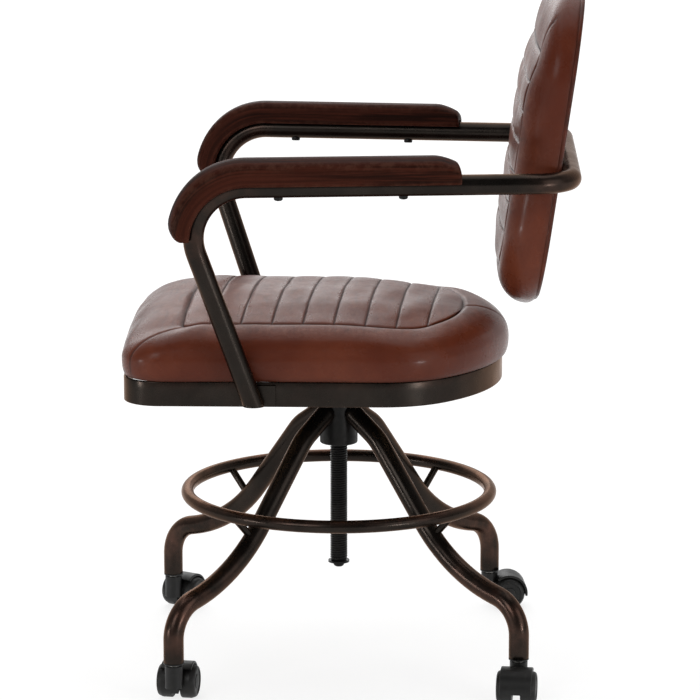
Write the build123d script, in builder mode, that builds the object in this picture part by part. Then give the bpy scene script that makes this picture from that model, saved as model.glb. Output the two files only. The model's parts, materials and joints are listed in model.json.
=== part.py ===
from build123d import *
from math import atan2, cos, hypot, radians, sin
import os

os.makedirs("parts", exist_ok=True)

# A swivel office chair: a leather seat and back on a frame of bent steel tube, which
# turns on a screw spindle in a base of four bent legs with a foot ring and casters.
# Millimetres and degrees. The floor is Z = 0, the seat faces -Y, the sitter's left is
# +X, and the origin lies on the floor under the spindle.

# Tube and bar stock
tube_diameter = 25.0
tube_wall = 2.0
ring_bar_diameter = 16.0
stub_diameter = 9.0

# Base: the legs' bends are given as distance from the spindle axis and height
base_turn = 4.34
caster_circle_radius = 300.0
leg_foot_height = 51.0
leg_knee_height = 115.0
leg_knee_bend = 45.0
leg_calf_reach = 190.0
leg_calf_height = 140.0
leg_calf_bend = 215.0
leg_neck_reach = 66.0
leg_neck_height = 291.0
leg_neck_bend = 65.0
leg_crown_height = 334.0
hub_diameter = 48.0
hub_bottom = 277.0
hub_height = 60.0
hub_cut_height = 240.0
nut_diameter = 34.0
ring_radius = 192.8
ring_height = 214.6

# Casters
wheel_diameter = 42.0
wheel_width = 19.0
wheel_edge_round = 3.0
wheel_face_recess = 1.5
wheel_rim_width = 5.0
caster_trail = 25.0
axle_diameter = 8.0
axle_depth_in_wheel = 14.0
web_thickness = 10.0
web_eye_radius = 9.0
wheel_side_gap = 0.5
wheel_hood_gap = 1.2
hood_shell = 2.8
hood_edge_tolerance = 0.28
hood_width = 39.0
hood_edge_round = 1.2
hood_rear_angle = -8.0
hood_front_angle = 128.0
web_front_angle = 205.0
boss_diameter = 22.0
boss_foot_height = 19.0
boss_gap = 2.5
stem_diameter = 11.0
stem_depth_in_hood = 20.0
stem_depth_in_leg = 23.0
stem_collar_diameter = 15.0
stem_collar_gap = 0.4
socket_depth = 26.0
socket_flange = 1.5
socket_clearance = 0.05
running_clearance = 0.05

# Screw spindle
spindle_diameter = 22.0
spindle_bottom = 123.0
spindle_flange_diameter = 46.0
spindle_flange_thickness = 6.0
stop_washer_diameter = 27.0
stop_washer_thickness = 2.4
stop_washer_play = 0.3
stop_bolt_diameter = 8.0
stop_bolt_length = 25.0
stop_head_diameter = 14.0
stop_head_height = 6.0
stop_head_round = 4.2

# Seat frame
band_bottom = 366.0
band_height = 30.5
band_thickness = 4.0
seat_half_width = 200.0
seat_front = 262.0
seat_front_corner = 45.0
seat_front_side_end = 214.0
seat_rear = 207.0
seat_rear_corner = 115.0
seat_rear_side_end = 56.0
crossbar_size = 25.0
crossbar_wall = 2.0
crossbar_spacing = 110.0
plate_width = 170.0
plate_thickness = 5.0
plate_corner = 12.0
plate_bolt_spacing = 130.0
plate_bolt_diameter = 8.0
plate_bolt_head = 13.0
plate_bolt_head_height = 5.3
board_screw_spacing = 300.0
board_screw_diameter = 5.0
board_screw_head = 10.0
board_screw_head_height = 3.0
board_screw_bite = 10.0

# Seat cushion
seat_board_thickness = 12.0
seat_board_inset = 16.0
seat_crown_height = 82.0
seat_crown_side_fall = 27.96875  # how far the crown has fallen at the seat's widest line
seat_front_fall_start = 190.0
seat_front_fall_end = 290.0
seat_front_fall_height = 18.0
seat_front_fall_bend = 70.0
seat_rear_fall_start = 30.0
seat_rear_fall_end = 240.0
seat_rear_fall_height = 53.0
seat_rear_fall_bend = 700.0
seat_bulge = 7.0
seat_front_bulge = 4.0
seat_bulge_height = 11.0
seat_base_round = 12.0
seat_top_round = 32.0
seat_panel_inset = 40.0
seat_panel_rear_inset = 20.0
seat_panel_front = 184.0
seat_panel_front_corner = 18.0
seat_panel_front_bow = 2.0
seat_panel_rear = 158.0
seat_channel_count = 8

# Quilting, on the seat and on the back
channel_round = 8.0
channel_depth = 3.0
seam_width = 4.0
seam_depth = 2.5
brim_share = 1.25
wall_lean_limit = 0.05
upright_limit = 0.9

# Arms
arm_height = 644.0
arm_front_reach = 190.0
arm_front_half_width = 262.0
arm_rear_half_width = 210.0
rear_bar_reach = 286.0
strut_foot_reach = 95.0
strut_foot_rise = 4.0
arm_front_bend = 62.0
arm_rear_bend = 50.0
tab_thickness = 5.0
tab_width = 12.0
tab_height = 24.0
armrest_width = 45.0
armrest_height = 35.5
armrest_base_rise = 6.0
armrest_rear_length = 256.3
armrest_rear_slope = 26.0
armrest_rear_drop = 12.0
armrest_wrap = 90.0
armrest_tip_round = 14.0
armrest_edge_round = 13.0
armrest_clearance = 0.1
armrest_screw_front = 39.0
armrest_screw_rear = 188.3
armrest_screw_diameter = 5.0
armrest_screw_head = 11.0
armrest_screw_head_height = 3.5
armrest_screw_bite = 14.0

# Backrest
recline = 8.2
back_half_width = 182.0
back_below_bar = 186.0
back_above_bar = 229.0
back_corner = 110.0
back_bow = 12.0
back_thickness = 58.0
back_crown_across = 3000.0
back_low_start = 130.0
back_low_end = 206.0
back_low_height = 18.0
back_low_bend = 60.0
back_high_start = 118.0
back_high_end = 249.0
back_high_height = 12.0
back_high_bend = 260.0
back_front_round = 30.0
back_rear_round = 12.0
back_board_inset = 16.0
back_board_thickness = 12.0
rear_cover_thickness = 3.0
back_panel_inset = 40.0
back_panel_low = 137.0
back_panel_high = 143.0
back_panel_high_corner = 18.0
back_panel_high_bow = 2.0
back_channel_count = 6
back_channel_pitch = 38.0
bracket_thickness = 3.0
bracket_width = 30.0
bracket_height = 76.0
bracket_spacing = 150.0
back_screw_spacing = 52.0
back_screw_diameter = 6.0
back_screw_head = 11.0
back_screw_head_height = 4.0
t_nut_diameter = 10.0
t_nut_flange = 20.0
t_nut_flange_thickness = 1.5

# Sizes that follow from the ones above
tube_radius = tube_diameter / 2
wheel_radius = wheel_diameter / 2
wheel_inner = web_thickness / 2 + wheel_side_gap
wheel_outer = wheel_inner + wheel_width
wheel_clear_radius = wheel_radius + wheel_hood_gap
hood_radius = wheel_clear_radius + hood_shell
socket_bottom = leg_foot_height - socket_flange
boss_top = socket_bottom - boss_gap
band_top = band_bottom + band_height
plate_top = band_top - crossbar_size
plate_bottom = plate_top - plate_thickness
stop_head_top = spindle_bottom - stop_washer_thickness - 2 * stop_washer_play
strut_foot_half_width = seat_half_width + tube_radius
corner_angles = {"front_left": -45.0, "rear_left": 45.0, "rear_right": 135.0, "front_right": -135.0}
trail_angles = {"front_left": 171.0, "rear_left": -6.0, "rear_right": 95.0, "front_right": 150.0}


def write(piece, name):
    """Label a finished piece and write its file."""
    piece.part.label = name
    export_step(piece.part, f"parts/{name}.step")


def upright_plane(angle, origin=(0, 0, 0)):
    """A vertical plane: its x runs outwards at the angle, its y runs up."""
    outwards = (cos(radians(angle)), sin(radians(angle)), 0)
    across = (sin(radians(angle)), -cos(radians(angle)), 0)
    return Plane(origin=origin, x_dir=outwards, z_dir=across)


def pad_outline(half_width, low_end, high_end, grow=0.0):
    """Draw a closed outline with straight sides and two bowed, round-cornered ends.

    Each end is (end of the straight side, corner radius, tip), measured along y. The bow
    between the corners is the arc that touches both corner arcs and passes the tip.
    """
    side = half_width + grow
    rights = []
    for sign, (straight_end, corner, tip) in ((-1, low_end), (1, high_end)):
        radius = corner + grow
        reach = abs(tip) + grow - abs(straight_end)
        inset = side - radius
        bow = (inset**2 + reach**2 - radius**2) / (2 * (reach - radius))
        bow_centre = sign * (abs(tip) + grow - bow)
        corner_centre = sign * abs(straight_end)
        lean = atan2(abs(corner_centre - bow_centre), inset)
        touch = Vector(bow * cos(lean), bow_centre + sign * bow * sin(lean))
        half_lean = lean / 2
        corner_mid = Vector(
            inset + radius * cos(half_lean), corner_centre + sign * radius * sin(half_lean)
        )
        rights.append((Vector(side, corner_centre), corner_mid, touch, sign * (abs(tip) + grow)))
    (low_side, low_mid, low_touch, low_tip), (high_side, high_mid, high_touch, high_tip) = rights

    def mirrored(point):
        return Vector(-point.X, point.Y)

    with BuildLine() as rim:
        ThreePointArc(mirrored(low_touch), (0, low_tip), low_touch)
        ThreePointArc(low_touch, low_mid, low_side)
        Line(low_side, high_side)
        ThreePointArc(high_side, high_mid, high_touch)
        ThreePointArc(high_touch, (0, high_tip), mirrored(high_touch))
        ThreePointArc(mirrored(high_touch), mirrored(high_mid), mirrored(high_side))
        Line(mirrored(high_side), mirrored(low_side))
        ThreePointArc(mirrored(low_side), mirrored(low_mid), mirrored(low_touch))
    make_face(rim.edges())


def long_section(base):
    """The plane along a pad's middle: its x runs along the pad, its y runs up."""
    return Plane(origin=base.origin, x_dir=base.y_dir, z_dir=base.x_dir)


def arch_axis(base, height, across):
    """The line below a pad about which its long profile turns to give the arch across."""
    return Axis(base.from_local_coords((0, 0, height - across)), base.y_dir)


def crown_limit(base, height, across, corners, bends, sink=0.0):
    """Turn the space under a pad's long profile, sunk by a depth, about the arch axis.

    corners are the profile's (place along the pad, height) points and bends their radii.
    """
    low = height - across / 2
    with BuildSketch(long_section(base)) as under:
        with BuildLine() as rim:
            FilletPolyline(*[(along, rise - sink) for along, rise in corners], radius=bends)
            Polyline(
                (corners[0][0], corners[0][1] - sink),
                (corners[0][0], low),
                (corners[-1][0], low),
                (corners[-1][0], corners[-1][1] - sink),
            )
        make_face(rim.edges())
    turning = arch_axis(base, height, across)
    revolve(under.sketch, axis=turning, mode=Mode.SUBTRACT if sink > 0 else Mode.INTERSECT)


def quilt_cutters(base, height, across, corners, bends, outline, stations):
    """Make the tools that press a pad's channels and its panel seam into the crown.

    outline holds the panel's half width and ends; stations are the channels' places
    along the pad. Each channel is a thin ring that follows the crown across the pad.
    """
    section = long_section(base)
    tool_height = height + channel_round
    with BuildLine(section) as profile:
        FilletPolyline(*corners, radius=bends)
    with BuildPart() as channels:
        with BuildSketch(section):
            for station in stations:
                above = section.from_local_coords((station, tool_height, 0))
                touch = profile.line.distance_to_with_closest_points(above)[1]
                centre = touch + (above - touch).normalized() * (channel_round - channel_depth)
                with Locations(section.to_local_coords(centre)):
                    Circle(channel_round)
        revolve(axis=arch_axis(base, height, across))
        with BuildSketch(base):
            pad_outline(*outline)
        extrude(amount=tool_height, mode=Mode.INTERSECT)
    with BuildPart() as seam:
        with BuildSketch(base):
            pad_outline(*outline, grow=seam_width / 2)
        extrude(amount=tool_height)
        with BuildSketch(base):
            pad_outline(*outline, grow=-seam_width / 2)
        extrude(amount=tool_height, mode=Mode.SUBTRACT)
        crown_limit(base, height, across, corners, bends, sink=seam_depth)
    return channels.part, seam.part


def brim_edges(pad, base, floor):
    """The edges where a pad's upright walls meet its crown, above a height over the base."""

    def is_wall(face):
        return abs(face.normal_at().dot(base.z_dir)) < wall_lean_limit

    def is_brim(edge):
        upright = abs(edge.tangent_at(0.5).dot(base.z_dir)) > upright_limit
        return not upright and base.to_local_coords(edge.center()).Z > floor

    return pad.faces().filter_by(is_wall).edges().filter_by(is_brim)


def brim_radius(brim, base, floor, wanted):
    """The rounding a pad's brim gets: as wanted, or what its lowest wall has room for."""
    room = min(base.to_local_coords(vertex.center()).Z for vertex in brim.vertices()) - floor
    return min(wanted, brim_share * room)


def pie(radius, first_angle, last_angle):
    """Draw a sector about a caster's axle, from one angle to the other."""
    middle = (first_angle + last_angle) / 2
    first, half, last = (
        (caster_trail + radius * cos(radians(angle)), wheel_radius + radius * sin(radians(angle)))
        for angle in (first_angle, middle, last_angle)
    )
    with BuildLine() as rim:
        ThreePointArc(first, half, last)
        Polyline(last, (caster_trail, wheel_radius), first)
    make_face(rim.edges())


# Base frame

with BuildPart() as hub:
    with Locations((0, 0, hub_bottom)):
        Cylinder(hub_diameter / 2, hub_height, align=(Align.CENTER, Align.CENTER, Align.MIN))
        Cylinder(
            nut_diameter / 2, hub_height, align=(Align.CENTER, Align.CENTER, Align.MIN), mode=Mode.SUBTRACT
        )
write(hub, "hub")

with BuildPart() as spindle_nut:
    with Locations((0, 0, hub_bottom)):
        Cylinder(nut_diameter / 2, hub_height, align=(Align.CENTER, Align.CENTER, Align.MIN))
        Cylinder(
            spindle_diameter / 2 + running_clearance,
            hub_height,
            align=(Align.CENTER, Align.CENTER, Align.MIN),
            mode=Mode.SUBTRACT,
        )
write(spindle_nut, "spindle_nut")

leg_points = [
    (0, leg_crown_height),
    (leg_neck_reach, leg_neck_height),
    (leg_calf_reach, leg_calf_height),
    (caster_circle_radius, leg_knee_height),
    (caster_circle_radius, leg_foot_height),
]
leg_bends = [leg_neck_bend, leg_calf_bend, leg_knee_bend]
leg_cores = {}
for corner, corner_angle in corner_angles.items():
    leg_plane = upright_plane(corner_angle + base_turn)
    with BuildLine(leg_plane) as leg_run:
        FilletPolyline(*leg_points, radius=leg_bends)
    leg_start = leg_run.line % 0
    leg_section = Plane(origin=leg_run.line @ 0, x_dir=leg_plane.z_dir.cross(leg_start), z_dir=leg_start)
    with BuildPart() as leg_core:
        with BuildSketch(leg_section):
            Circle(tube_radius)
        sweep(path=leg_run.line)
    leg_cores[corner] = leg_core.part
    with BuildPart() as leg:
        with BuildSketch(leg_section):
            Circle(tube_radius)
            Circle(tube_radius - tube_wall, mode=Mode.SUBTRACT)
        sweep(path=leg_run.line)
        with Locations((0, 0, hub_bottom)):
            Cylinder(hub_diameter / 2, hub_cut_height, mode=Mode.SUBTRACT)
    write(leg, f"leg_{corner}")

with BuildPart() as caster_sockets:
    with PolarLocations(caster_circle_radius, 4, start_angle=45 + base_turn):
        with Locations((0, 0, socket_bottom)):
            Cylinder(tube_radius, socket_flange, align=(Align.CENTER, Align.CENTER, Align.MIN))
            Cylinder(
                tube_radius - tube_wall - socket_clearance,
                socket_flange + socket_depth,
                align=(Align.CENTER, Align.CENTER, Align.MIN),
            )
            Cylinder(
                stem_diameter / 2 + running_clearance,
                socket_flange + socket_depth,
                align=(Align.CENTER, Align.CENTER, Align.MIN),
                mode=Mode.SUBTRACT,
            )
write(caster_sockets, "caster_sockets")

with BuildPart() as foot_ring:
    with Locations((0, 0, ring_height)):
        Torus(ring_radius, ring_bar_diameter / 2)
write(foot_ring, "foot_ring")

with BuildPart() as ring_stubs:
    for corner, corner_angle in corner_angles.items():
        stub_plane = upright_plane(corner_angle + base_turn)
        with BuildLine(stub_plane) as leg_run:
            FilletPolyline(*leg_points, radius=leg_bends)
        ring_point = stub_plane.from_local_coords((ring_radius, ring_height, 0))
        stub_foot = leg_run.line.distance_to_with_closest_points(ring_point)[1]
        with BuildSketch(Plane(origin=stub_foot, z_dir=ring_point - stub_foot)):
            Circle(stub_diameter / 2)
        extrude(amount=(ring_point - stub_foot).length)
        add(leg_cores[corner], mode=Mode.SUBTRACT)
    add(foot_ring.part, mode=Mode.SUBTRACT)
write(ring_stubs, "ring_stubs")

# Casters

for corner, corner_angle in corner_angles.items():
    foot_angle = radians(corner_angle + base_turn)
    foot = Vector(caster_circle_radius * cos(foot_angle), caster_circle_radius * sin(foot_angle), 0)
    side = upright_plane(trail_angles[corner], origin=foot)
    axle_point = side.from_local_coords((caster_trail, wheel_radius, 0))
    axle_line = Axis(axle_point, side.z_dir)

    with BuildPart() as caster_hood:
        with BuildSketch(side):
            pie(hood_radius, hood_rear_angle, hood_front_angle)
        extrude(amount=hood_width / 2, both=True)
        with Locations(foot + (0, 0, boss_foot_height)):
            Cylinder(
                boss_diameter / 2,
                boss_top - boss_foot_height,
                align=(Align.CENTER, Align.CENTER, Align.MIN),
            )
        with BuildSketch(side.offset(web_thickness / 2), side.offset(-web_thickness / 2 - wheel_width * 2)):
            with Locations((caster_trail, wheel_radius)):
                Circle(wheel_clear_radius)
        extrude(amount=wheel_width * 2, mode=Mode.SUBTRACT)
        with BuildSketch(side):
            pie(hood_radius, hood_rear_angle, web_front_angle)
            with Locations((caster_trail, wheel_radius)):
                Circle(web_eye_radius)
        extrude(amount=web_thickness / 2, both=True)
        shell_edges = caster_hood.edges().filter_by(GeomType.CIRCLE)
        shell_edges = shell_edges.filter_by(lambda edge: abs(edge.radius - hood_radius) < hood_edge_tolerance)
        fillet(
            shell_edges.filter_by(lambda edge: abs(side.to_local_coords(edge.center()).Z) > web_thickness),
            hood_edge_round,
        )
        with BuildSketch(side):
            with Locations((caster_trail, wheel_radius)):
                Circle(axle_diameter / 2)
        extrude(amount=web_thickness, both=True, mode=Mode.SUBTRACT)
        with Locations(foot + (0, 0, boss_top)):
            Cylinder(
                stem_diameter / 2,
                stem_depth_in_hood,
                align=(Align.CENTER, Align.CENTER, Align.MAX),
                mode=Mode.SUBTRACT,
            )
    write(caster_hood, f"caster_hood_{corner}")

    with BuildPart() as caster_stem:
        with Locations(foot + (0, 0, boss_top - stem_depth_in_hood)):
            Cylinder(
                stem_diameter / 2,
                stem_depth_in_hood + boss_gap + socket_flange + stem_depth_in_leg,
                align=(Align.CENTER, Align.CENTER, Align.MIN),
            )
        with Locations(foot + (0, 0, boss_top)):
            Cylinder(
                stem_collar_diameter / 2,
                boss_gap - stem_collar_gap,
                align=(Align.CENTER, Align.CENTER, Align.MIN),
            )
    write(caster_stem, f"caster_stem_{corner}")

    with BuildPart() as caster_axle:
        with BuildSketch(side):
            with Locations((caster_trail, wheel_radius)):
                Circle(axle_diameter / 2)
        extrude(amount=wheel_inner + axle_depth_in_wheel - wheel_side_gap, both=True)
    write(caster_axle, f"caster_axle_{corner}")

    for number, outwards in ((1, side.z_dir), (2, -side.z_dir)):
        bore = axle_diameter / 2 + running_clearance
        rim = wheel_radius - wheel_edge_round - wheel_rim_width
        wheel_section = Plane(origin=axle_point, x_dir=(0, 0, 1), z_dir=Vector(0, 0, 1).cross(outwards))
        with BuildPart() as caster_wheel:
            with BuildSketch(wheel_section):
                with BuildLine():
                    Polyline(
                        (0, wheel_inner + axle_depth_in_wheel),
                        (bore, wheel_inner + axle_depth_in_wheel),
                        (bore, wheel_inner),
                        (wheel_radius - wheel_edge_round / 2, wheel_inner),
                        (wheel_radius, wheel_inner + wheel_edge_round / 2),
                        (wheel_radius, wheel_outer - wheel_edge_round),
                    )
                    RadiusArc(
                        (wheel_radius, wheel_outer - wheel_edge_round),
                        (wheel_radius - wheel_edge_round, wheel_outer),
                        -wheel_edge_round,
                    )
                    Polyline(
                        (wheel_radius - wheel_edge_round, wheel_outer),
                        (rim, wheel_outer),
                        (rim - wheel_face_recess, wheel_outer - wheel_face_recess),
                        (0, wheel_outer - wheel_face_recess),
                        (0, wheel_inner + axle_depth_in_wheel),
                    )
                make_face()
            revolve(axis=axle_line)
        write(caster_wheel, f"caster_wheel_{corner}_{number}")

# Screw spindle

with BuildPart() as spindle:
    with Locations((0, 0, spindle_bottom)):
        Cylinder(
            spindle_diameter / 2,
            plate_bottom - spindle_bottom,
            align=(Align.CENTER, Align.CENTER, Align.MIN),
        )
        Cylinder(
            stop_bolt_diameter / 2,
            stop_bolt_length,
            align=(Align.CENTER, Align.CENTER, Align.MIN),
            mode=Mode.SUBTRACT,
        )
    with Locations((0, 0, plate_bottom)):
        Cylinder(
            spindle_flange_diameter / 2,
            spindle_flange_thickness,
            align=(Align.CENTER, Align.CENTER, Align.MAX),
        )
write(spindle, "spindle")

with BuildPart() as stop_washer:
    with Locations((0, 0, stop_head_top + stop_washer_play)):
        Cylinder(
            stop_washer_diameter / 2,
            stop_washer_thickness,
            align=(Align.CENTER, Align.CENTER, Align.MIN),
        )
        Cylinder(
            stop_bolt_diameter / 2 + running_clearance,
            stop_washer_thickness,
            align=(Align.CENTER, Align.CENTER, Align.MIN),
            mode=Mode.SUBTRACT,
        )
write(stop_washer, "stop_washer")

with BuildPart() as stop_bolt:
    with Locations((0, 0, stop_head_top)):
        Cylinder(
            stop_head_diameter / 2,
            stop_head_height,
            align=(Align.CENTER, Align.CENTER, Align.MAX),
        )
    fillet(stop_bolt.faces().sort_by(Axis.Z)[0].edges(), stop_head_round)
    with Locations((0, 0, stop_head_top)):
        Cylinder(
            stop_bolt_diameter / 2,
            spindle_bottom - stop_head_top + stop_bolt_length,
            align=(Align.CENTER, Align.CENTER, Align.MIN),
        )
write(stop_bolt, "stop_bolt")

# Seat frame

seat_ends = (
    (-seat_front_side_end, seat_front_corner, -seat_front),
    (seat_rear_side_end, seat_rear_corner, seat_rear),
)

with BuildPart() as seat_band:
    with BuildSketch(Plane.XY.offset(band_bottom)):
        pad_outline(seat_half_width, *seat_ends)
    extrude(amount=band_height)
    with BuildSketch(Plane.XY.offset(band_bottom)):
        pad_outline(seat_half_width, *seat_ends, grow=-band_thickness)
    extrude(amount=band_height, mode=Mode.SUBTRACT)
write(seat_band, "seat_band")

plate_bolt_places = GridLocations(plate_bolt_spacing, crossbar_spacing, 2, 2)
board_screw_places = GridLocations(board_screw_spacing, crossbar_spacing, 2, 2)

with BuildPart() as seat_crossbars:
    with BuildSketch(Plane.YZ):
        with Locations((-crossbar_spacing / 2, plate_top), (crossbar_spacing / 2, plate_top)):
            Rectangle(crossbar_size, crossbar_size, align=(Align.CENTER, Align.MIN))
            with Locations((0, crossbar_wall)):
                Rectangle(
                    crossbar_size - 2 * crossbar_wall,
                    crossbar_size - 2 * crossbar_wall,
                    align=(Align.CENTER, Align.MIN),
                    mode=Mode.SUBTRACT,
                )
    extrude(amount=seat_half_width, both=True)
    with BuildSketch(Plane.XY.offset(plate_top)):
        pad_outline(seat_half_width, *seat_ends, grow=-band_thickness)
    extrude(amount=crossbar_size, mode=Mode.INTERSECT)
    with BuildSketch(Plane.XY.offset(plate_top)):
        with plate_bolt_places:
            Circle(plate_bolt_diameter / 2)
        with board_screw_places:
            Circle(board_screw_diameter / 2)
    extrude(amount=crossbar_size, mode=Mode.SUBTRACT)
write(seat_crossbars, "seat_crossbars")

with BuildPart() as seat_plate:
    with BuildSketch(Plane.XY.offset(plate_bottom)):
        RectangleRounded(plate_width, plate_width, plate_corner)
        with plate_bolt_places:
            Circle(plate_bolt_diameter / 2, mode=Mode.SUBTRACT)
    extrude(amount=plate_thickness)
write(seat_plate, "seat_plate")

with BuildPart() as plate_bolts:
    with BuildSketch(Plane.XY.offset(plate_bottom)):
        with plate_bolt_places:
            RegularPolygon(plate_bolt_head / 2, 6, major_radius=False)
    extrude(amount=-plate_bolt_head_height)
    with BuildSketch(Plane.XY.offset(plate_bottom)):
        with plate_bolt_places:
            Circle(plate_bolt_diameter / 2)
    extrude(amount=plate_thickness + crossbar_size + seat_board_thickness)
write(plate_bolts, "plate_bolts")

with BuildPart() as board_screws:
    with BuildSketch(Plane.XY.offset(plate_top)):
        with board_screw_places:
            Circle(board_screw_head / 2)
    extrude(amount=-board_screw_head_height)
    with BuildSketch(Plane.XY.offset(plate_top)):
        with board_screw_places:
            Circle(board_screw_diameter / 2)
    extrude(amount=crossbar_size + board_screw_bite)
write(board_screws, "board_screws")

with BuildPart() as seat_board:
    with BuildSketch(Plane.XY.offset(band_top)):
        pad_outline(seat_half_width, *seat_ends, grow=-seat_board_inset)
        with plate_bolt_places:
            Circle(plate_bolt_diameter / 2, mode=Mode.SUBTRACT)
    extrude(amount=seat_board_thickness)
    with BuildSketch(Plane.XY.offset(band_top)):
        with board_screw_places:
            Circle(board_screw_diameter / 2)
    extrude(amount=board_screw_bite, mode=Mode.SUBTRACT)
write(seat_board, "seat_board")

# Seat cushion

seat_widest = seat_half_width + seat_bulge
seat_crown_across = (seat_widest**2 + seat_crown_side_fall**2) / (2 * seat_crown_side_fall)
seat_base = Plane.XY.offset(band_top)
seat_crown = (
    seat_base,
    seat_crown_height,
    seat_crown_across,
    [
        (-seat_front_fall_end, seat_front_fall_height),
        (-seat_front_fall_start, seat_crown_height),
        (seat_rear_fall_start, seat_crown_height),
        (seat_rear_fall_end, seat_rear_fall_height),
    ],
    [seat_front_fall_bend, seat_rear_fall_bend],
)
front_draw = seat_bulge - seat_front_bulge
seat_cushion_ends = (
    (-seat_front_side_end + front_draw, seat_front_corner, -seat_front + front_draw),
    seat_ends[1],
)
seat_panel_half_width = seat_half_width - seat_panel_inset
seat_panel = (
    seat_panel_half_width,
    (
        -seat_panel_front + seat_panel_front_corner + seat_panel_front_bow,
        seat_panel_front_corner,
        -seat_panel_front,
    ),
    (seat_rear_side_end - seat_panel_rear_inset, seat_rear_corner - seat_panel_rear_inset, seat_panel_rear),
)
channel_pitch = (seat_panel_front + seat_panel_rear) / (seat_channel_count + 1)
seat_stations = [-seat_panel_front + channel_pitch * (i + 1) for i in range(seat_channel_count)]
seat_channels, seat_seam = quilt_cutters(*seat_crown, seat_panel, seat_stations)

with BuildPart() as seat_cushion:
    with BuildSketch(seat_base.offset(seat_bulge_height - seat_base_round)):
        pad_outline(seat_half_width, *seat_cushion_ends, grow=seat_bulge)
    extrude(amount=seat_crown_height + seat_base_round)
    crown_limit(*seat_crown)
    brim = brim_edges(seat_cushion, seat_base, seat_bulge_height)
    fillet(brim, brim_radius(brim, seat_base, seat_bulge_height, seat_top_round))
    fillet(seat_cushion.faces().sort_by(Axis.Z)[0].edges(), seat_base_round)
    split(bisect_by=seat_base, keep=Keep.TOP)
    with BuildSketch(seat_base):
        pad_outline(seat_half_width, *seat_ends, grow=-seat_board_inset)
    extrude(amount=seat_board_thickness, mode=Mode.SUBTRACT)
    add(seat_channels, mode=Mode.SUBTRACT)
    add(seat_seam, mode=Mode.SUBTRACT)
write(seat_cushion, "seat_cushion")

# Arms

def arm_corners(side):
    """The foot, front corner and rear corner of one arm's centre line; side is 1 or -1."""
    return (
        Vector(side * strut_foot_half_width, -strut_foot_reach, band_bottom),
        Vector(side * arm_front_half_width, -arm_front_reach, arm_height),
        Vector(side * arm_rear_half_width, rear_bar_reach, arm_height),
    )


def bend_frame(side):
    """The plane of one arm's front bend: origin at its centre, x forwards, y upwards."""
    foot, front, rear = arm_corners(side)
    forwards = (front - rear).normalized()
    downwards = (foot - front).normalized()
    upwards = (forwards * downwards.dot(forwards) - downwards).normalized()
    half_corner = radians((-forwards).get_angle(downwards)) / 2
    inwards = ((-forwards) + downwards).normalized()
    centre = front + inwards * (arm_front_bend / sin(half_corner))
    return Plane(origin=centre, x_dir=forwards, z_dir=forwards.cross(upwards))


left_foot, left_front, left_rear = arm_corners(1)
right_foot, right_front, right_rear = arm_corners(-1)
left_lead = left_foot + (left_foot - left_front).normalized() * tube_diameter
right_lead = right_foot + (right_foot - right_front).normalized() * tube_diameter
with BuildLine() as arm_run:
    FilletPolyline(
        left_lead,
        left_front,
        left_rear,
        right_rear,
        right_front,
        right_lead,
        radius=[arm_front_bend, arm_rear_bend, arm_rear_bend, arm_front_bend],
    )
arm_section = Plane(origin=arm_run.line @ 0, z_dir=arm_run.line % 0)

with BuildPart() as arm_core:
    with BuildSketch(arm_section):
        Circle(tube_radius)
    sweep(path=arm_run.line)

with BuildPart() as pad_groove:
    with BuildSketch(arm_section):
        Circle(tube_radius + armrest_clearance)
    sweep(path=arm_run.line)

bend_frames = {"left": bend_frame(1), "right": bend_frame(-1)}

with BuildPart() as armrest_screws:
    for frame in bend_frames.values():
        for station in (armrest_screw_front, armrest_screw_rear):
            under = frame.from_local_coords((-station, arm_front_bend - tube_radius, 0))
            with BuildSketch(Plane(origin=under, z_dir=frame.y_dir)):
                Circle(armrest_screw_head / 2)
            extrude(amount=-armrest_screw_head_height)
            with BuildSketch(Plane(origin=under, z_dir=frame.y_dir)):
                Circle(armrest_screw_head / 2)
            extrude(amount=armrest_screw_head_height / 2)
    heads = armrest_screws.faces().filter_by(GeomType.PLANE).group_by(Axis.Z)[0]
    fillet(heads.edges(), armrest_screw_head_height / 2)
    add(arm_core.part, mode=Mode.SUBTRACT)
    for frame in bend_frames.values():
        for station in (armrest_screw_front, armrest_screw_rear):
            under = frame.from_local_coords((-station, arm_front_bend - tube_radius, 0))
            with BuildSketch(Plane(origin=under, z_dir=frame.y_dir)):
                Circle(armrest_screw_diameter / 2)
            extrude(amount=tube_diameter + armrest_screw_bite)
write(armrest_screws, "armrest_screws")

back_lean = radians(recline)
back_normal = Vector(0, -cos(back_lean), sin(back_lean))
bar_centre = Vector(0, rear_bar_reach, arm_height)
back_plane = Plane(
    origin=bar_centre + back_normal * (tube_radius + bracket_thickness), x_dir=(1, 0, 0), z_dir=back_normal
)
bracket_places = GridLocations(bracket_spacing, 0, 2, 1)
back_screw_places = GridLocations(bracket_spacing, back_screw_spacing, 2, 2)

with BuildPart() as arm_frame:
    with BuildSketch(arm_section):
        Circle(tube_radius)
        Circle(tube_radius - tube_wall, mode=Mode.SUBTRACT)
    sweep(path=arm_run.line)
    split(bisect_by=Plane.XY.offset(band_bottom + strut_foot_rise), keep=Keep.TOP)
    with BuildSketch(Plane.XY.offset(band_bottom)):
        pad_outline(seat_half_width, *seat_ends)
    extrude(amount=band_height, mode=Mode.SUBTRACT)
    add(armrest_screws.part, mode=Mode.SUBTRACT)
write(arm_frame, "arm_frame")

with BuildPart() as arm_tabs:
    for side in (1, -1):
        with Locations((side * seat_half_width, -strut_foot_reach, band_bottom + band_height / 2)):
            Box(
                tab_thickness,
                tube_radius + tab_width,
                tab_height,
                align=(Align.MIN if side > 0 else Align.MAX, Align.MIN, Align.CENTER),
            )
    add(arm_core.part, mode=Mode.SUBTRACT)
write(arm_tabs, "arm_tabs")

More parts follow.
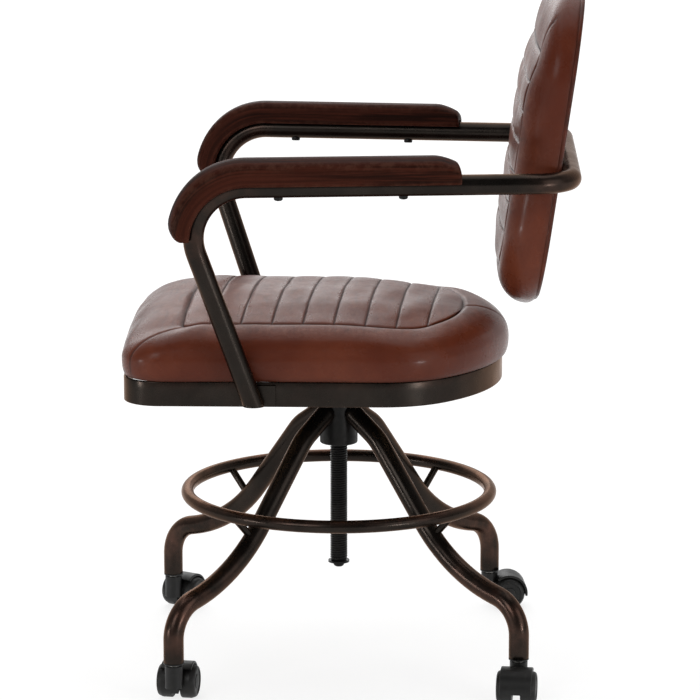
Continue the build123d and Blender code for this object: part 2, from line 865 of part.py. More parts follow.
def on_outer_rim(edge, frame):
    """Does an edge of an armrest run along a side face, away from the tube?"""
    place = frame.to_local_coords(edge.center())
    rise = place.Y if place.X < 0 else hypot(place.X, place.Y)
    on_side = abs(abs(place.Z) - armrest_width / 2) < armrest_clearance
    return on_side and rise > arm_front_bend + armrest_base_rise + armrest_clearance


for hand, frame in bend_frames.items():
    top = arm_front_bend + armrest_height
    under = arm_front_bend + armrest_base_rise
    wrap = radians(90 - armrest_wrap)
    half_wrap = radians(90 - armrest_wrap / 2)
    with BuildPart() as armrest:
        with BuildSketch(frame) as side_view:
            with BuildLine():
                Polyline(
                    (0, under),
                    (-armrest_rear_length, under),
                    (-armrest_rear_length, top - armrest_rear_drop),
                    (-armrest_rear_length + armrest_rear_slope, top),
                    (0, top),
                )
                ThreePointArc(
                    (0, top), (top * cos(half_wrap), top * sin(half_wrap)), (top * cos(wrap), top * sin(wrap))
                )
                Line(
                    (top * cos(wrap), top * sin(wrap)),
                    (under * cos(wrap), under * sin(wrap)),
                )
                ThreePointArc(
                    (under * cos(wrap), under * sin(wrap)),
                    (under * cos(half_wrap), under * sin(half_wrap)),
                    (0, under),
                )
            make_face()
            rounds = (
                ((top * cos(wrap), top * sin(wrap)), armrest_tip_round),
                ((-armrest_rear_length, top - armrest_rear_drop), armrest_rear_drop / 2),
                ((-armrest_rear_length + armrest_rear_slope, top), armrest_rear_slope),
            )
            for point, radius in rounds:
                fillet(side_view.vertices().sort_by_distance(point)[0], radius)
        extrude(amount=armrest_width / 2, both=True)
        fillet(armrest.edges().filter_by(lambda edge: on_outer_rim(edge, frame)), armrest_edge_round)
        add(pad_groove.part, mode=Mode.SUBTRACT)
        add(armrest_screws.part, mode=Mode.SUBTRACT)
    write(armrest, f"armrest_{hand}")

# Backrest

back_ends = (
    (-(back_below_bar - back_corner - back_bow), back_corner, -back_below_bar),
    (back_above_bar - back_corner - back_bow, back_corner, back_above_bar),
)
back_crown = (
    back_plane,
    back_thickness,
    back_crown_across,
    [
        (-back_low_end, back_low_height),
        (-back_low_start, back_thickness),
        (back_high_start, back_thickness),
        (back_high_end, back_high_height),
    ],
    [back_low_bend, back_high_bend],
)
back_panel = (
    back_half_width - back_panel_inset,
    (back_ends[0][0], back_corner - back_panel_inset, -back_panel_low),
    (
        back_panel_high - back_panel_high_corner - back_panel_high_bow,
        back_panel_high_corner,
        back_panel_high,
    ),
)
back_stations = [back_panel_high - back_channel_pitch * (i + 1) for i in range(back_channel_count)]
back_channels, back_seam = quilt_cutters(*back_crown, back_panel, back_stations)
back_axis = Axis(back_plane.origin, back_plane.z_dir)

with BuildPart() as backrest_cushion:
    with BuildSketch(back_plane):
        pad_outline(back_half_width, *back_ends)
    extrude(amount=back_thickness)
    crown_limit(*back_crown)
    brim = brim_edges(backrest_cushion, back_plane, back_rear_round)
    fillet(brim, brim_radius(brim, back_plane, back_rear_round, back_front_round))
    fillet(backrest_cushion.faces().sort_by(back_axis)[0].edges(), back_rear_round)
    with BuildSketch(back_plane):
        pad_outline(back_half_width, *back_ends, grow=-back_board_inset)
    extrude(amount=rear_cover_thickness + back_board_thickness, mode=Mode.SUBTRACT)
    add(back_channels, mode=Mode.SUBTRACT)
    add(back_seam, mode=Mode.SUBTRACT)
write(backrest_cushion, "backrest_cushion")

with BuildPart() as backrest_rear_cover:
    with BuildSketch(back_plane):
        pad_outline(back_half_width, *back_ends, grow=-back_board_inset)
        with back_screw_places:
            Circle(back_screw_diameter / 2, mode=Mode.SUBTRACT)
    extrude(amount=rear_cover_thickness)
write(backrest_rear_cover, "backrest_rear_cover")

board_rear = back_plane.offset(rear_cover_thickness)
board_front = board_rear.offset(back_board_thickness)

with BuildPart() as backrest_board:
    with BuildSketch(board_rear):
        pad_outline(back_half_width, *back_ends, grow=-back_board_inset)
        with back_screw_places:
            Circle(t_nut_diameter / 2, mode=Mode.SUBTRACT)
    extrude(amount=back_board_thickness)
    with BuildSketch(board_front):
        with back_screw_places:
            Circle(t_nut_flange / 2)
    extrude(amount=-t_nut_flange_thickness, mode=Mode.SUBTRACT)
write(backrest_board, "backrest_board")

with BuildPart() as backrest_t_nuts:
    with BuildSketch(board_front):
        with back_screw_places:
            Circle(t_nut_flange / 2)
    extrude(amount=-t_nut_flange_thickness)
    with BuildSketch(board_rear):
        with back_screw_places:
            Circle(t_nut_diameter / 2)
    extrude(amount=back_board_thickness)
    with BuildSketch(board_rear):
        with back_screw_places:
            Circle(back_screw_diameter / 2)
    extrude(amount=back_board_thickness, mode=Mode.SUBTRACT)
write(backrest_t_nuts, "backrest_t_nuts")

bracket_rear = back_plane.offset(-bracket_thickness)

with BuildPart() as backrest_brackets:
    with BuildSketch(back_plane):
        with bracket_places:
            Rectangle(bracket_width, bracket_height)
        with back_screw_places:
            Circle(back_screw_diameter / 2, mode=Mode.SUBTRACT)
    extrude(amount=-bracket_thickness)
write(backrest_brackets, "backrest_brackets")

with BuildPart() as backrest_screws:
    with BuildSketch(bracket_rear):
        with back_screw_places:
            Circle(back_screw_head / 2)
    extrude(amount=-back_screw_head_height)
    fillet(backrest_screws.faces().sort_by(back_axis)[0:4].edges(), back_screw_head_height / 2)
    with BuildSketch(bracket_rear):
        with back_screw_places:
            Circle(back_screw_diameter / 2)
    extrude(amount=bracket_thickness + rear_cover_thickness + back_board_thickness - t_nut_flange_thickness)
write(backrest_screws, "backrest_screws")
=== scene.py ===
import bpy
import json
import numpy as np
from math import acos, atan2, cos, pi, radians, sin, tan
from mathutils import Matrix


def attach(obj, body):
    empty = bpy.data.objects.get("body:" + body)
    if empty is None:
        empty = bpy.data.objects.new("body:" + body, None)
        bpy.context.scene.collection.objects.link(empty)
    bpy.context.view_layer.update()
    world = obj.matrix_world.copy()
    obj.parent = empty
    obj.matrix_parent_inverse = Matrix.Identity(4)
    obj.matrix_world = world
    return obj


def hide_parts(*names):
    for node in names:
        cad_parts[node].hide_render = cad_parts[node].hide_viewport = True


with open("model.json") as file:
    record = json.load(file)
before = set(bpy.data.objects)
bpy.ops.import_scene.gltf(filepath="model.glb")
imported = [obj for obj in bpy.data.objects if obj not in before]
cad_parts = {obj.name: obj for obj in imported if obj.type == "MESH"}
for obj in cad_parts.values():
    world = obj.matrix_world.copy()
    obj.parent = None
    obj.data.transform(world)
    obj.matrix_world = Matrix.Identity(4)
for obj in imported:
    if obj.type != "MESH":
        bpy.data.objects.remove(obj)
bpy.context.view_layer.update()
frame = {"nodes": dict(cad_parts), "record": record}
nodes = frame["nodes"]

# Sizes of the chair in metres and degrees, as in the part's source.
TUBE_RADIUS = 0.0125
BASE_TURN = 4.34
CASTER_CIRCLE = 0.300
CORNERS = {"front_left": -45.0, "rear_left": 45.0, "rear_right": 135.0, "front_right": -135.0}
TRAILS = {"front_left": 171.0, "rear_left": -6.0, "rear_right": 95.0, "front_right": 150.0}
LEG_POINTS = [(0.0, 0.334), (0.066, 0.291), (0.190, 0.140), (0.300, 0.115), (0.300, 0.051)]
LEG_BENDS = [0.065, 0.215, 0.045]
LEG_START = 0.0185  # the tube starts this far from the spindle's axis, inside the hub's wall
HUB_RADIUS, HUB_BORE = 0.024, 0.0171
HUB_BOTTOM, HUB_MIDDLE, HUB_TOP = 0.277, 0.300, 0.337
RING_RADIUS, RING_BAR_RADIUS, RING_HEIGHT = 0.1928, 0.008, 0.2146
SPINDLE_RADIUS, SPINDLE_BOTTOM, SPINDLE_TOP = 0.011, 0.123, 0.3605
THREAD_PITCH, THREAD_DEPTH, THREAD_RUN_OUT = 0.003, 0.0013, 0.004
FLANGE_RADIUS, FLANGE_TOP = 0.023, 0.3665
CASTER_TRAIL, WHEEL_RADIUS = 0.025, 0.021
BAND_BOTTOM, BAND_TOP = 0.366, 0.3965
BAND_HEIGHT, BAND_WALL = 0.0305, 0.004
STRUT_FOOT, ARM_FRONT, ARM_REAR = (0.2125, -0.095), (0.262, -0.190), (0.210, 0.286)
ARM_HEIGHT, ARM_BEND, ARM_REAR_BEND = 0.644, 0.062, 0.050
REST_BASE, REST_HEIGHT, REST_HALF_WIDTH = 0.006, 0.0355, 0.0225  # heights are from the tube's middle
REST_GROOVE = 0.0126  # radius of the groove in which the tube lies
REST_LENGTH, REST_WRAP = 0.2563, radians(90.0)  # the straight part, and how far round the bend
REST_SHOULDER = 0.013  # above this height the section follows the rest's falling top


# Array helpers

def unit(v):
    """Vectors divided by their lengths along the last axis."""
    v = np.asarray(v, float)
    return v / np.linalg.norm(v, axis=-1, keepdims=True)


def smooth_step(x, low, high):
    """0 below low, 1 above high, and 3t^2 - 2t^3 between them."""
    t = np.clip((x - low) / (high - low), 0.0, 1.0)
    return t * t * (3.0 - 2.0 * t)


def bell(distance, size):
    """1 at no distance, and e to the minus square of distance over size beyond it."""
    return np.exp(-((distance / size) ** 2))


def full_turn(count):
    """Angles of a full turn in equal steps."""
    return np.linspace(0, 2 * pi, count, endpoint=False)


def wander(points, size, seed, count=9):
    """A slow uneven number at each point, about -1 to 1: a sum of sines in random directions."""
    rng = np.random.default_rng(seed)
    waves = unit(rng.normal(size=(count, 3))) * (2 * pi / size) * rng.uniform(0.6, 1.7, (count, 1))
    phases = rng.uniform(0, 2 * pi, count)
    return np.sin(points @ waves.T + phases).mean(axis=-1) * 1.8


def bent_path(corners, radii, step, turn_step, bend_spread=0.018):
    """Straight runs joined by arcs that touch both runs at each corner.

    Returns points, unit directions, how strongly each point lies in a bend, from 0 to 1, and how
    far along the path it lies.
    """
    corners = np.array(corners, float)
    points, ways, bends = [], [], []

    def run_straight(start, stop, way, last=0):
        count = max(2, int(np.linalg.norm(stop - start) / step))
        t = np.linspace(0, 1, count + 1)[:count + last, None]
        points.append(start + (stop - start) * t)
        ways.append(np.repeat(way[None], len(t), axis=0))
        bends.append(np.zeros(len(t)))

    start = corners[0]
    for before, corner, after, radius in zip(corners, corners[1:], corners[2:], radii):
        a, b = unit(corner - before), unit(after - corner)
        turn = acos(float(np.clip(a @ b, -1, 1)))
        reach = radius * tan(turn / 2)
        first = corner - a * reach
        inward = unit(b - a * (a @ b))
        run_straight(start, first, a)
        count = max(3, int(turn / turn_step))
        angle = np.linspace(0, turn, count, endpoint=False)[:, None]
        points.append(first + inward * radius * (1 - np.cos(angle)) + a * radius * np.sin(angle))
        ways.append(a * np.cos(angle) + inward * np.sin(angle))
        bends.append(np.ones(count))
        start = corner + b * reach
    run_straight(start, corners[-1], unit(corners[-1] - corners[-2]), last=1)
    points, ways, bends = (np.concatenate(part) for part in (points, ways, bends))
    along = np.concatenate([[0], np.cumsum(np.linalg.norm(np.diff(points, axis=0), axis=1))])
    spread = bell(along[:, None] - along[None], bend_spread)
    return points, ways, (spread @ bends) / spread.sum(axis=1), along


def eased(corners, radii, step, turn_step):
    """A flat line of straight runs through the corners, each eased by an arc of its radius."""
    flat = [(a, b, 0.0) for a, b in corners]
    return bent_path(flat, radii, step, turn_step)[0][:, :2]


def grid_faces(rows, columns, wrap_columns=False, wrap_rows=False):
    """Quads of a grid of points numbered row by row, which may close on itself either way."""
    index = np.arange(rows * columns).reshape(rows, columns)
    if wrap_rows:
        index = np.concatenate([index, index[:1]])
    if wrap_columns:
        index = np.concatenate([index, index[:, :1]], axis=1)
    corners = (index[:-1, :-1], index[:-1, 1:], index[1:, 1:], index[1:, :-1])
    return np.stack(corners, axis=-1).reshape(-1, 4)


def ring_faces(rows, columns, flip=False):
    """Quads of a grid that closes on itself both ways."""
    quads = grid_faces(rows, columns, True, True)
    return (quads[:, ::-1] if flip else quads).tolist()


def fan(row, pole, flip):
    """Triangles from a closed row of point numbers to one pole."""
    after = np.roll(row, -1)
    pair = (after, row) if flip else (row, after)
    return np.stack([*pair, np.full(len(row), pole)], axis=-1).tolist()


def add_object(name, data):
    """A new object in the scene's collection."""
    made = bpy.data.objects.new(name, data)
    bpy.context.scene.collection.objects.link(made)
    return made


def make_piece(name, points, faces, body, slot, attributes=None):
    """A smooth mesh object from arrays of points and faces, riding on a body in its slot's finish."""
    mesh = bpy.data.meshes.new(name)
    mesh.from_pydata(points.tolist(), [], faces)
    mesh.polygons.foreach_set("use_smooth", np.full(len(mesh.polygons), True))
    for key, values in (attributes or {}).items():
        values = np.asarray(values, float)
        kind, field = ("FLOAT", "value") if values.ndim == 1 else ("FLOAT_VECTOR", "vector")
        mesh.attributes.new(key, kind, "POINT").data.foreach_set(field, values.ravel())
    mesh.materials.append(SLOT_FINISH[slot])
    mesh.update()
    piece = add_object(name, mesh)
    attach(piece, body)
    return piece


def closed_loft(rings, flip=False):
    """Points and faces of a tube of closed rings whose first and last ring end in poles."""
    rows, columns = rings.shape[:2]
    points = np.concatenate([rings.reshape(-1, 3), rings[:1].mean(axis=1), rings[-1:].mean(axis=1)])
    quads = grid_faces(rows, columns, True)
    if flip:
        quads = quads[:, ::-1]
    first, count = np.arange(columns), rows * columns
    caps = fan(first, count, not flip) + fan(first + count - columns, count + 1, flip)
    return points, quads.tolist() + caps


# A bar's end rows: how far in from its end each one lies and how much narrower it is, in eases.
END_PLACES = np.array([0.6, 0.15, 0.0, 0.0])
END_SHRINKS = np.array([0.0, 0.5, 1.0, 3.0])
BAR_COLUMNS = 32


def with_end_rows(values):
    """Values per path point, with the ends repeated for a bar's end rows."""
    first, last = (np.repeat(end, len(END_PLACES), axis=0) for end in (values[:1], values[-1:]))
    return np.concatenate([first, values[1:-1], last])


def round_bar(path, ways, radius, reference, ease=0.0012, level=None):
    """A bar of round section carried along a path, with eased ends and closed caps.

    With a level, what lies below that height is drawn back along the bar to a level cut.
    """
    start = path[:1] + ways[:1] * (ease * END_PLACES)[::-1, None]
    stop = path[-1:] - ways[-1:] * (ease * END_PLACES)[:, None]
    path = np.concatenate([start, path[1:-1], stop])
    shrink = ease * END_SHRINKS
    sizes = np.concatenate([radius - shrink[::-1], np.full(len(ways) - 2, radius), radius - shrink])
    ways = with_end_rows(ways)
    side = unit(np.cross(ways, reference))
    rise = np.cross(side, ways)
    turn = full_turn(BAR_COLUMNS)
    ring = np.cos(turn)[None, :, None] * side[:, None] + np.sin(turn)[None, :, None] * rise[:, None]
    rings = path[:, None] + ring * sizes[:, None, None]
    if level is not None:
        fall = np.where(ways[:, 2] == 0, 1, ways[:, 2])[:, None, None]
        rings = rings + ways[:, None] * (np.maximum(level - rings[..., 2:], 0) / fall)
    return closed_loft(rings, flip=True)


def along_rings(values):
    """A number per path point carried to the points of round_bar."""
    values = with_end_rows(values)
    return np.concatenate([np.repeat(values, BAR_COLUMNS), values[:1], values[-1:]])


OFF_AXIS = (0.31, 0.52, 0.8)  # a direction that no turned piece's axis has


def turned(profile, centre, axis, radii, columns=48):
    """A profile of (radius, height) corners, eased by the radii, turned about an axis."""
    line = eased(profile, radii, 0.004, 0.35)
    axis = unit(axis)
    side = unit(np.cross(axis, OFF_AXIS))
    other = np.cross(axis, side)
    turn = full_turn(columns)
    spokes = np.cos(turn)[:, None] * side + np.sin(turn)[:, None] * other
    rings = centre + line[:, :1, None] * spokes[None] + line[:, 1:, None] * axis
    return closed_loft(rings)


# Finishes

class NodeTree:
    """Short calls for the nodes that the finishes, the floor and the studio share."""

    def __init__(self, tree):
        self.tree = tree

    def node(self, kind, inputs=None, **settings):
        made = self.tree.nodes.new(kind)
        for key, value in settings.items():
            setattr(made, key, value)
        for key, value in (inputs or {}).items():
            self.put(made.inputs[key], value)
        return made

    def put(self, socket, value):
        if isinstance(value, bpy.types.NodeSocket):
            self.tree.links.new(value, socket)
        else:
            socket.default_value = (*value, 1.0) if socket.type == "RGBA" else value

    def spread(self, value, low, high, to_low=0.0, to_high=1.0):
        return self.node(
            "ShaderNodeMapRange",
            {"Value": value, "From Min": low, "From Max": high, "To Min": to_low, "To Max": to_high},
            interpolation_type="SMOOTHSTEP",
        ).outputs[0]

    def reckon(self, how, first, second):
        return self.node("ShaderNodeMath", {0: first, 1: second}, operation=how).outputs[0]

    def plus(self, first, second):
        return self.reckon("ADD", first, second)

    def times(self, first, second):
        return self.reckon("MULTIPLY", first, second)


class Finish(NodeTree):
    """A node material, with its textures placed in the piece's own frame."""

    def __init__(self, name):
        self.material = bpy.data.materials.new(name)
        self.material.use_nodes = True
        super().__init__(self.material.node_tree)
        self.shader = self.tree.nodes["Principled BSDF"]
        self.place = self.node("ShaderNodeTexCoord").outputs["Object"]

    def attribute(self, name, output="Fac"):
        return self.node("ShaderNodeAttribute", attribute_name=name).outputs[output]

    def noise(self, scale, detail=4.0, rough=0.55, place=None, stretch=None):
        where = place or self.place
        if stretch:
            where = self.node("ShaderNodeMapping", {"Vector": where, "Scale": stretch}).outputs[0]
        return self.node(
            "ShaderNodeTexNoise", {"Vector": where, "Scale": scale, "Detail": detail, "Roughness": rough}
        ).outputs["Fac"]

    def mix(self, share, first, second):
        made = self.node("ShaderNodeMix", data_type="RGBA")
        for number, value in ((0, share), (6, first), (7, second)):
            self.put(made.inputs[number], value)
        return made.outputs[2]

    def bump(self, height, distance, strength, under=None):
        inputs = {"Height": height, "Distance": distance, "Strength": strength}
        if under:
            inputs["Normal"] = under
        return self.node("ShaderNodeBump", inputs).outputs[0]

    def finish(self, **sockets):
        for key, value in sockets.items():
            self.put(self.shader.inputs[key.replace("_", " ")], value)
        return self.material


def make_leather():
    """Red-brown polished hide: pebble grain, slow patches of patina, paler rubbed crests, painted shade
    in its seams, creases, tuck and under side, and the piping's darker tone.
    """
    f = Finish("polished_hide")
    deep, red = (0.092, 0.0185, 0.0080), (0.138, 0.0345, 0.0165)
    mottled, seam_shade_colour = (0.078, 0.0165, 0.0078), (0.020, 0.008, 0.006)
    rubbed, crease_shade = (0.215, 0.078, 0.048), (0.050, 0.013, 0.008)
    patches = f.spread(f.noise(7, 3), 0.35, 0.68)
    mottle = f.spread(f.noise(46, 5, 0.65), 0.3, 0.75)
    seam_shade_and_tone = f.attribute("seam_shade_and_tone")
    crest = f.attribute("worn")
    worn = f.times(crest, f.spread(f.noise(120, 6, 0.7), 0.42, 0.7))
    streaks = f.noise(1, 5, 0.62, stretch=(17, 150, 150))
    wrinkle = f.times(f.spread(streaks, 0.50, 0.66), crest)
    base = f.mix(patches, deep, red)
    base = f.mix(f.times(mottle, 0.45), base, mottled)
    # Painted shade: seams, channels, the tuck and the under side darken toward a near-black brown.
    base = f.mix(f.times(seam_shade_and_tone, 0.86), base, seam_shade_colour)
    base = f.mix(f.times(worn, 0.50), base, rubbed)
    # Painted shade: the wrinkle lines on the crests are darkened; they are also bumped in below.
    base = f.mix(f.times(wrinkle, 0.36), base, crease_shade)
    pebbles = {"Vector": f.place, "Scale": 820.0}
    cells = f.node("ShaderNodeTexVoronoi", pebbles, feature="DISTANCE_TO_EDGE")
    grain = f.spread(cells.outputs["Distance"], 0.0, 0.16)
    pores = f.noise(1500, 2)
    normal = f.bump(f.plus(f.noise(30, 2), f.times(wrinkle, -0.10)), 0.0016, 0.14)
    normal = f.bump(f.plus(grain, f.times(pores, 0.5)), 0.00014, 0.40, normal)
    rough = f.spread(f.noise(24, 5, 0.6), 0.3, 0.72, 0.21, 0.33)
    rough = f.plus(f.plus(rough, f.times(seam_shade_and_tone, 0.25)), f.times(crest, 0.10))
    return f.finish(
        Base_Color=base, Roughness=rough, Normal=normal, Specular_IOR_Level=0.10,
        Coat_Weight=0.09, Coat_Roughness=0.18,
    )


def make_bronze():
    """Dark bronzed steel: near-black brown, rubbed through to copper brown on bends and raised spots."""
    f = Finish("rubbed_bronze")
    black, brown = (0.0135, 0.0122, 0.0108), (0.0215, 0.0186, 0.0160)
    copper, tint = (0.150, 0.072, 0.052), (0.86, 0.66, 0.56)
    broken = f.spread(f.noise(30, 4, 0.6), 0.30, 0.70)
    flecks = f.spread(f.noise(320, 5, 0.7), 0.55, 0.70)
    shown = f.plus(f.times(f.attribute("rub"), broken), f.times(flecks, 0.02))
    base = f.mix(f.spread(f.noise(14, 4), 0.35, 0.7), black, brown)
    base = f.mix(shown, base, copper)
    rough = f.spread(f.noise(40, 4, 0.6), 0.3, 0.7, 0.24, 0.33)
    normal = f.bump(f.noise(60, 3, 0.5), 0.0004, 0.05)
    return f.finish(Base_Color=base, Metallic=0.85, Roughness=rough, Normal=normal, Specular_Tint=tint)


def make_wood():
    """Very dark red-brown stained wood: grain along the arm, rubbed and scratched at its edges."""
    f = Finish("dark_stained_wood")
    stain, red = (0.0125, 0.0045, 0.0030), (0.040, 0.0105, 0.0062)
    streak = (0.054, 0.0145, 0.0085)
    rubbed, scratched = (0.110, 0.050, 0.033), (0.105, 0.042, 0.027)
    grain_place = f.attribute("grain", "Vector")
    lines = f.noise(1, 6, 0.62, grain_place, (260, 260, 9))
    bands = f.noise(1, 3, 0.5, grain_place, (70, 70, 3))
    scratch = f.spread(f.noise(1, 7, 0.75, grain_place, (420, 420, 24)), 0.62, 0.72)
    edge = f.times(f.attribute("edge"), f.spread(f.noise(95, 6, 0.7), 0.40, 0.62))
    base = f.mix(f.spread(bands, 0.35, 0.68), stain, red)
    base = f.mix(f.spread(lines, 0.40, 0.70), base, streak)
    base = f.mix(f.times(edge, 0.30), base, rubbed)
    base = f.mix(f.times(scratch, 0.22), base, scratched)
    rough = f.spread(lines, 0.3, 0.7, 0.42, 0.58)
    normal = f.bump(lines, 0.00022, 0.35)
    return f.finish(Base_Color=base, Roughness=rough, Normal=normal, Specular_IOR_Level=0.025)


def make_plain(name, tones, patches, edges, rough_scale, rough, grain=None, **sockets):
    """A plain finish: two tones in patches, an uneven roughness and, if asked for, a fine grain."""
    f = Finish(name)
    base = f.mix(f.spread(f.noise(*patches), *edges), *tones)
    sockets["Roughness"] = f.spread(f.noise(rough_scale), 0.3, 0.7, *rough)
    if grain:
        scale, detail, distance, strength = grain
        sockets["Normal"] = f.bump(f.noise(scale, detail), distance, strength)
    return f.finish(Base_Color=base, **sockets)


def make_plastic(name, tones, rough):
    """Black moulded plastic: fine spark texture and slight scuffs."""
    grain = (900, 2, 0.00008, 0.35)
    return make_plain(
        name, tones, (75, 6, 0.7), (0.50, 0.72), 60, rough, grain, Specular_IOR_Level=0.32
    )


def make_board():
    """Raw plywood: pale layers along its thickness and a fine grain."""
    f = Finish("raw_plywood")
    tan_layer, pale_layer = (0.34, 0.22, 0.12), (0.48, 0.34, 0.20)
    grain_line = (0.27, 0.165, 0.085)
    layers = f.noise(1, 2, 0.5, stretch=(6, 6, 700))
    grain = f.noise(1, 5, 0.6, stretch=(26, 260, 260))
    base = f.mix(f.spread(layers, 0.4, 0.6), tan_layer, pale_layer)
    base = f.mix(f.times(f.spread(grain, 0.45, 0.7), 0.4), base, grain_line)
    return f.finish(Base_Color=base, Roughness=f.spread(grain, 0.3, 0.7, 0.6, 0.8))


SLOT_FINISH = {
    "leather": make_leather(),
    "bronzed_steel": make_bronze(),
    "black_steel": make_plain(
        "oiled_black_steel", [(0.0045, 0.0042, 0.0040), (0.012, 0.0108, 0.0098)],
        (60, 5, 0.6, None, (1, 1, 0.25)), (0.35, 0.7), 140, (0.34, 0.52),
        (300, 3, 0.0001, 0.3), Metallic=0.7,
    ),
    "bright_steel": make_plain(
        "dull_plated_steel", [(0.15, 0.145, 0.14), (0.32, 0.31, 0.29)],
        (180, 5, 0.65), (0.35, 0.7), 420, (0.30, 0.48), Metallic=0.95,
    ),
    "arm_wood": make_wood(),
    "caster_plastic": make_plastic(
        "hood_plastic", [(0.0042, 0.0040, 0.0037), (0.011, 0.0104, 0.0096)], (0.36, 0.50)
    ),
    "wheel_plastic": make_plastic(
        "wheel_plastic", [(0.0050, 0.0047, 0.0043), (0.0125, 0.0118, 0.0108)], (0.42, 0.58)
    ),
    "board": make_board(),
}
DARK_NODES = ("armrest_screws", "stop_bolt", "stop_washer")
for subpart in frame["record"]["subparts"]:
    materials = nodes[subpart["node"]].data.materials
    materials.clear()
    slot = "black_steel" if subpart["node"] in DARK_NODES else subpart["material_slot"]
    materials.append(SLOT_FINISH[slot])


# Base

def leg_way(corner):
    """The level direction from the spindle to a corner's leg."""
    angle = radians(CORNERS[corner] + BASE_TURN)
    return np.array([cos(angle), sin(angle), 0.0])


def make_leg(corner):
    """A leg: a round tube along runs and bends in an upright plane, rubbed at its lower bends."""
    outward = leg_way(corner)
    run = [outward * reach + np.array([0, 0, height]) for reach, height in LEG_POINTS]
    path = bent_path(run, LEG_BENDS, 0.005, 0.05)
    outside = np.hypot(*path[0][:, :2].T) > LEG_START
    middle, ways, bend, along = (part[outside] for part in path)
    points, faces = round_bar(middle, ways, TUBE_RADIUS, np.array([0, 0, 1.0]) + outward * 0.25)
    rub = {"rub": along_rings(0.03 + 0.42 * bend * smooth_step(along, 0.22, 0.36))}
    leg = make_piece(f"bent_leg_{corner}", points, faces, "base", "bronzed_steel", rub)
    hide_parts(f"leg_{corner}")


def make_hub(columns=64):
    """The hub: a closed section of its wall with eased edges, turned about the spindle's axis."""
    corners = [
        (HUB_BORE, HUB_MIDDLE), (HUB_BORE, HUB_BOTTOM), (HUB_RADIUS, HUB_BOTTOM),
        (HUB_RADIUS, HUB_TOP), (HUB_BORE, HUB_TOP), (HUB_BORE, HUB_MIDDLE),
    ]
    section = eased(corners, [0.0006, 0.002, 0.002, 0.0006], 0.006, 0.3)[:-1]
    reach, height, turn = section[:, :1], section[:, 1:], full_turn(columns)[None]
    points = np.stack([reach * np.cos(turn), reach * np.sin(turn), height + 0 * turn], axis=-1)
    faces = ring_faces(len(section), columns)
    hub = make_piece("hub_sleeve", points.reshape(-1, 3), faces, "base", "black_steel")
    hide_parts("hub")


def make_foot_ring(rows=240, columns=28):
    """The foot ring: a bar's round section carried round a circle, rubbed along its top."""
    turn, section = full_turn(rows)[:, None], full_turn(columns)[None]
    reach = RING_RADIUS + RING_BAR_RADIUS * np.cos(section)
    height = RING_HEIGHT + RING_BAR_RADIUS * np.sin(section) + 0 * turn
    points = np.stack([reach * np.cos(turn), reach * np.sin(turn), height], axis=-1)
    rub = 0.05 + 0.35 * smooth_step(np.sin(section) + 0 * turn, 0.1, 0.9)
    points, faces = points.reshape(-1, 3), ring_faces(rows, columns, True)
    foot_ring = make_piece("foot_rest_ring", points, faces, "base", "bronzed_steel", {"rub": rub.ravel()})
    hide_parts("foot_ring")


for corner in CORNERS:
    make_leg(corner)
make_hub()
make_foot_ring()


# Screw spindle

def threaded_rod(columns=56, rows_per_pitch=9):
    """A rod whose radius falls by a rounded tooth as height minus pitch times turn repeats."""
    low, high = SPINDLE_BOTTOM, SPINDLE_TOP
    rows = int((high - low) / THREAD_PITCH * rows_per_pitch)
    height = np.linspace(low, high, rows)[:, None]
    turn = full_turn(columns)[None]
    phase = np.mod(height / THREAD_PITCH - turn / (2 * pi), 1.0)
    tooth = smooth_step(np.abs(phase - 0.5), 0.12, 0.34)
    ends = smooth_step(height, low, low + THREAD_RUN_OUT)
    ends = ends * (1 - smooth_step(height, high - THREAD_RUN_OUT, high))
    reach = SPINDLE_RADIUS - THREAD_DEPTH * (1 - ends) - THREAD_DEPTH * tooth * ends
    rings = np.stack([reach * np.cos(turn), reach * np.sin(turn), height + 0 * turn], axis=-1)
    return closed_loft(rings)


def make_spindle():
    """The threaded rod, and the flange at its top: a disc turned about its axis."""
    rod = make_piece("screw_spindle", *threaded_rod(), "seat", "black_steel")
    low, high, radius, middle = SPINDLE_TOP, FLANGE_TOP, FLANGE_RADIUS, 0.0005
    profile = [(middle, low), (radius, low), (radius, high), (middle, high)]
    disc = turned(profile, (0, 0, 0), (0, 0, 1), [0.0015, 0.0008])
    make_piece("spindle_flange", *disc, "seat", "black_steel")
    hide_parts("spindle")


make_spindle()


# Casters

# Radius and distance from the caster's middle plane: inner face, tread, outer edge, sunken face and cap.
WHEEL_PROFILE = [
    (0.0042, 0.0055), (0.0202, 0.0055), (WHEEL_RADIUS, 0.0066), (WHEEL_RADIUS, 0.0180), (0.0188, 0.0234),
    (0.0158, 0.0245), (0.0148, 0.0231), (0.0092, 0.0228), (0.0086, 0.0238), (0.0004, 0.0243),
]
WHEEL_ROUNDS = [0.0006, 0.0006, 0.004, 0.0025, 0.0006, 0.0006, 0.0006, 0.0005]


def make_wheels(corner):
    """A caster's two wheels, each turned about the axle from the wheel's profile."""
    trail = radians(TRAILS[corner])
    axle = CASTER_CIRCLE * leg_way(corner) + CASTER_TRAIL * np.array([cos(trail), sin(trail), 0.0])
    axle[2] = WHEEL_RADIUS
    across = np.array([sin(trail), -cos(trail), 0.0])
    for number, way in ((1, across), (2, -across)):
        name, body = f"twin_wheel_{corner}_{number}", f"wheel_{corner}_{number}"
        shape = turned(WHEEL_PROFILE, axle, way, WHEEL_ROUNDS, 56)
        wheel = make_piece(name, *shape, body, "wheel_plastic")
        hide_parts(f"caster_wheel_{corner}_{number}")


for corner in CORNERS:
    make_wheels(corner)


# Outlines of the seat and the back

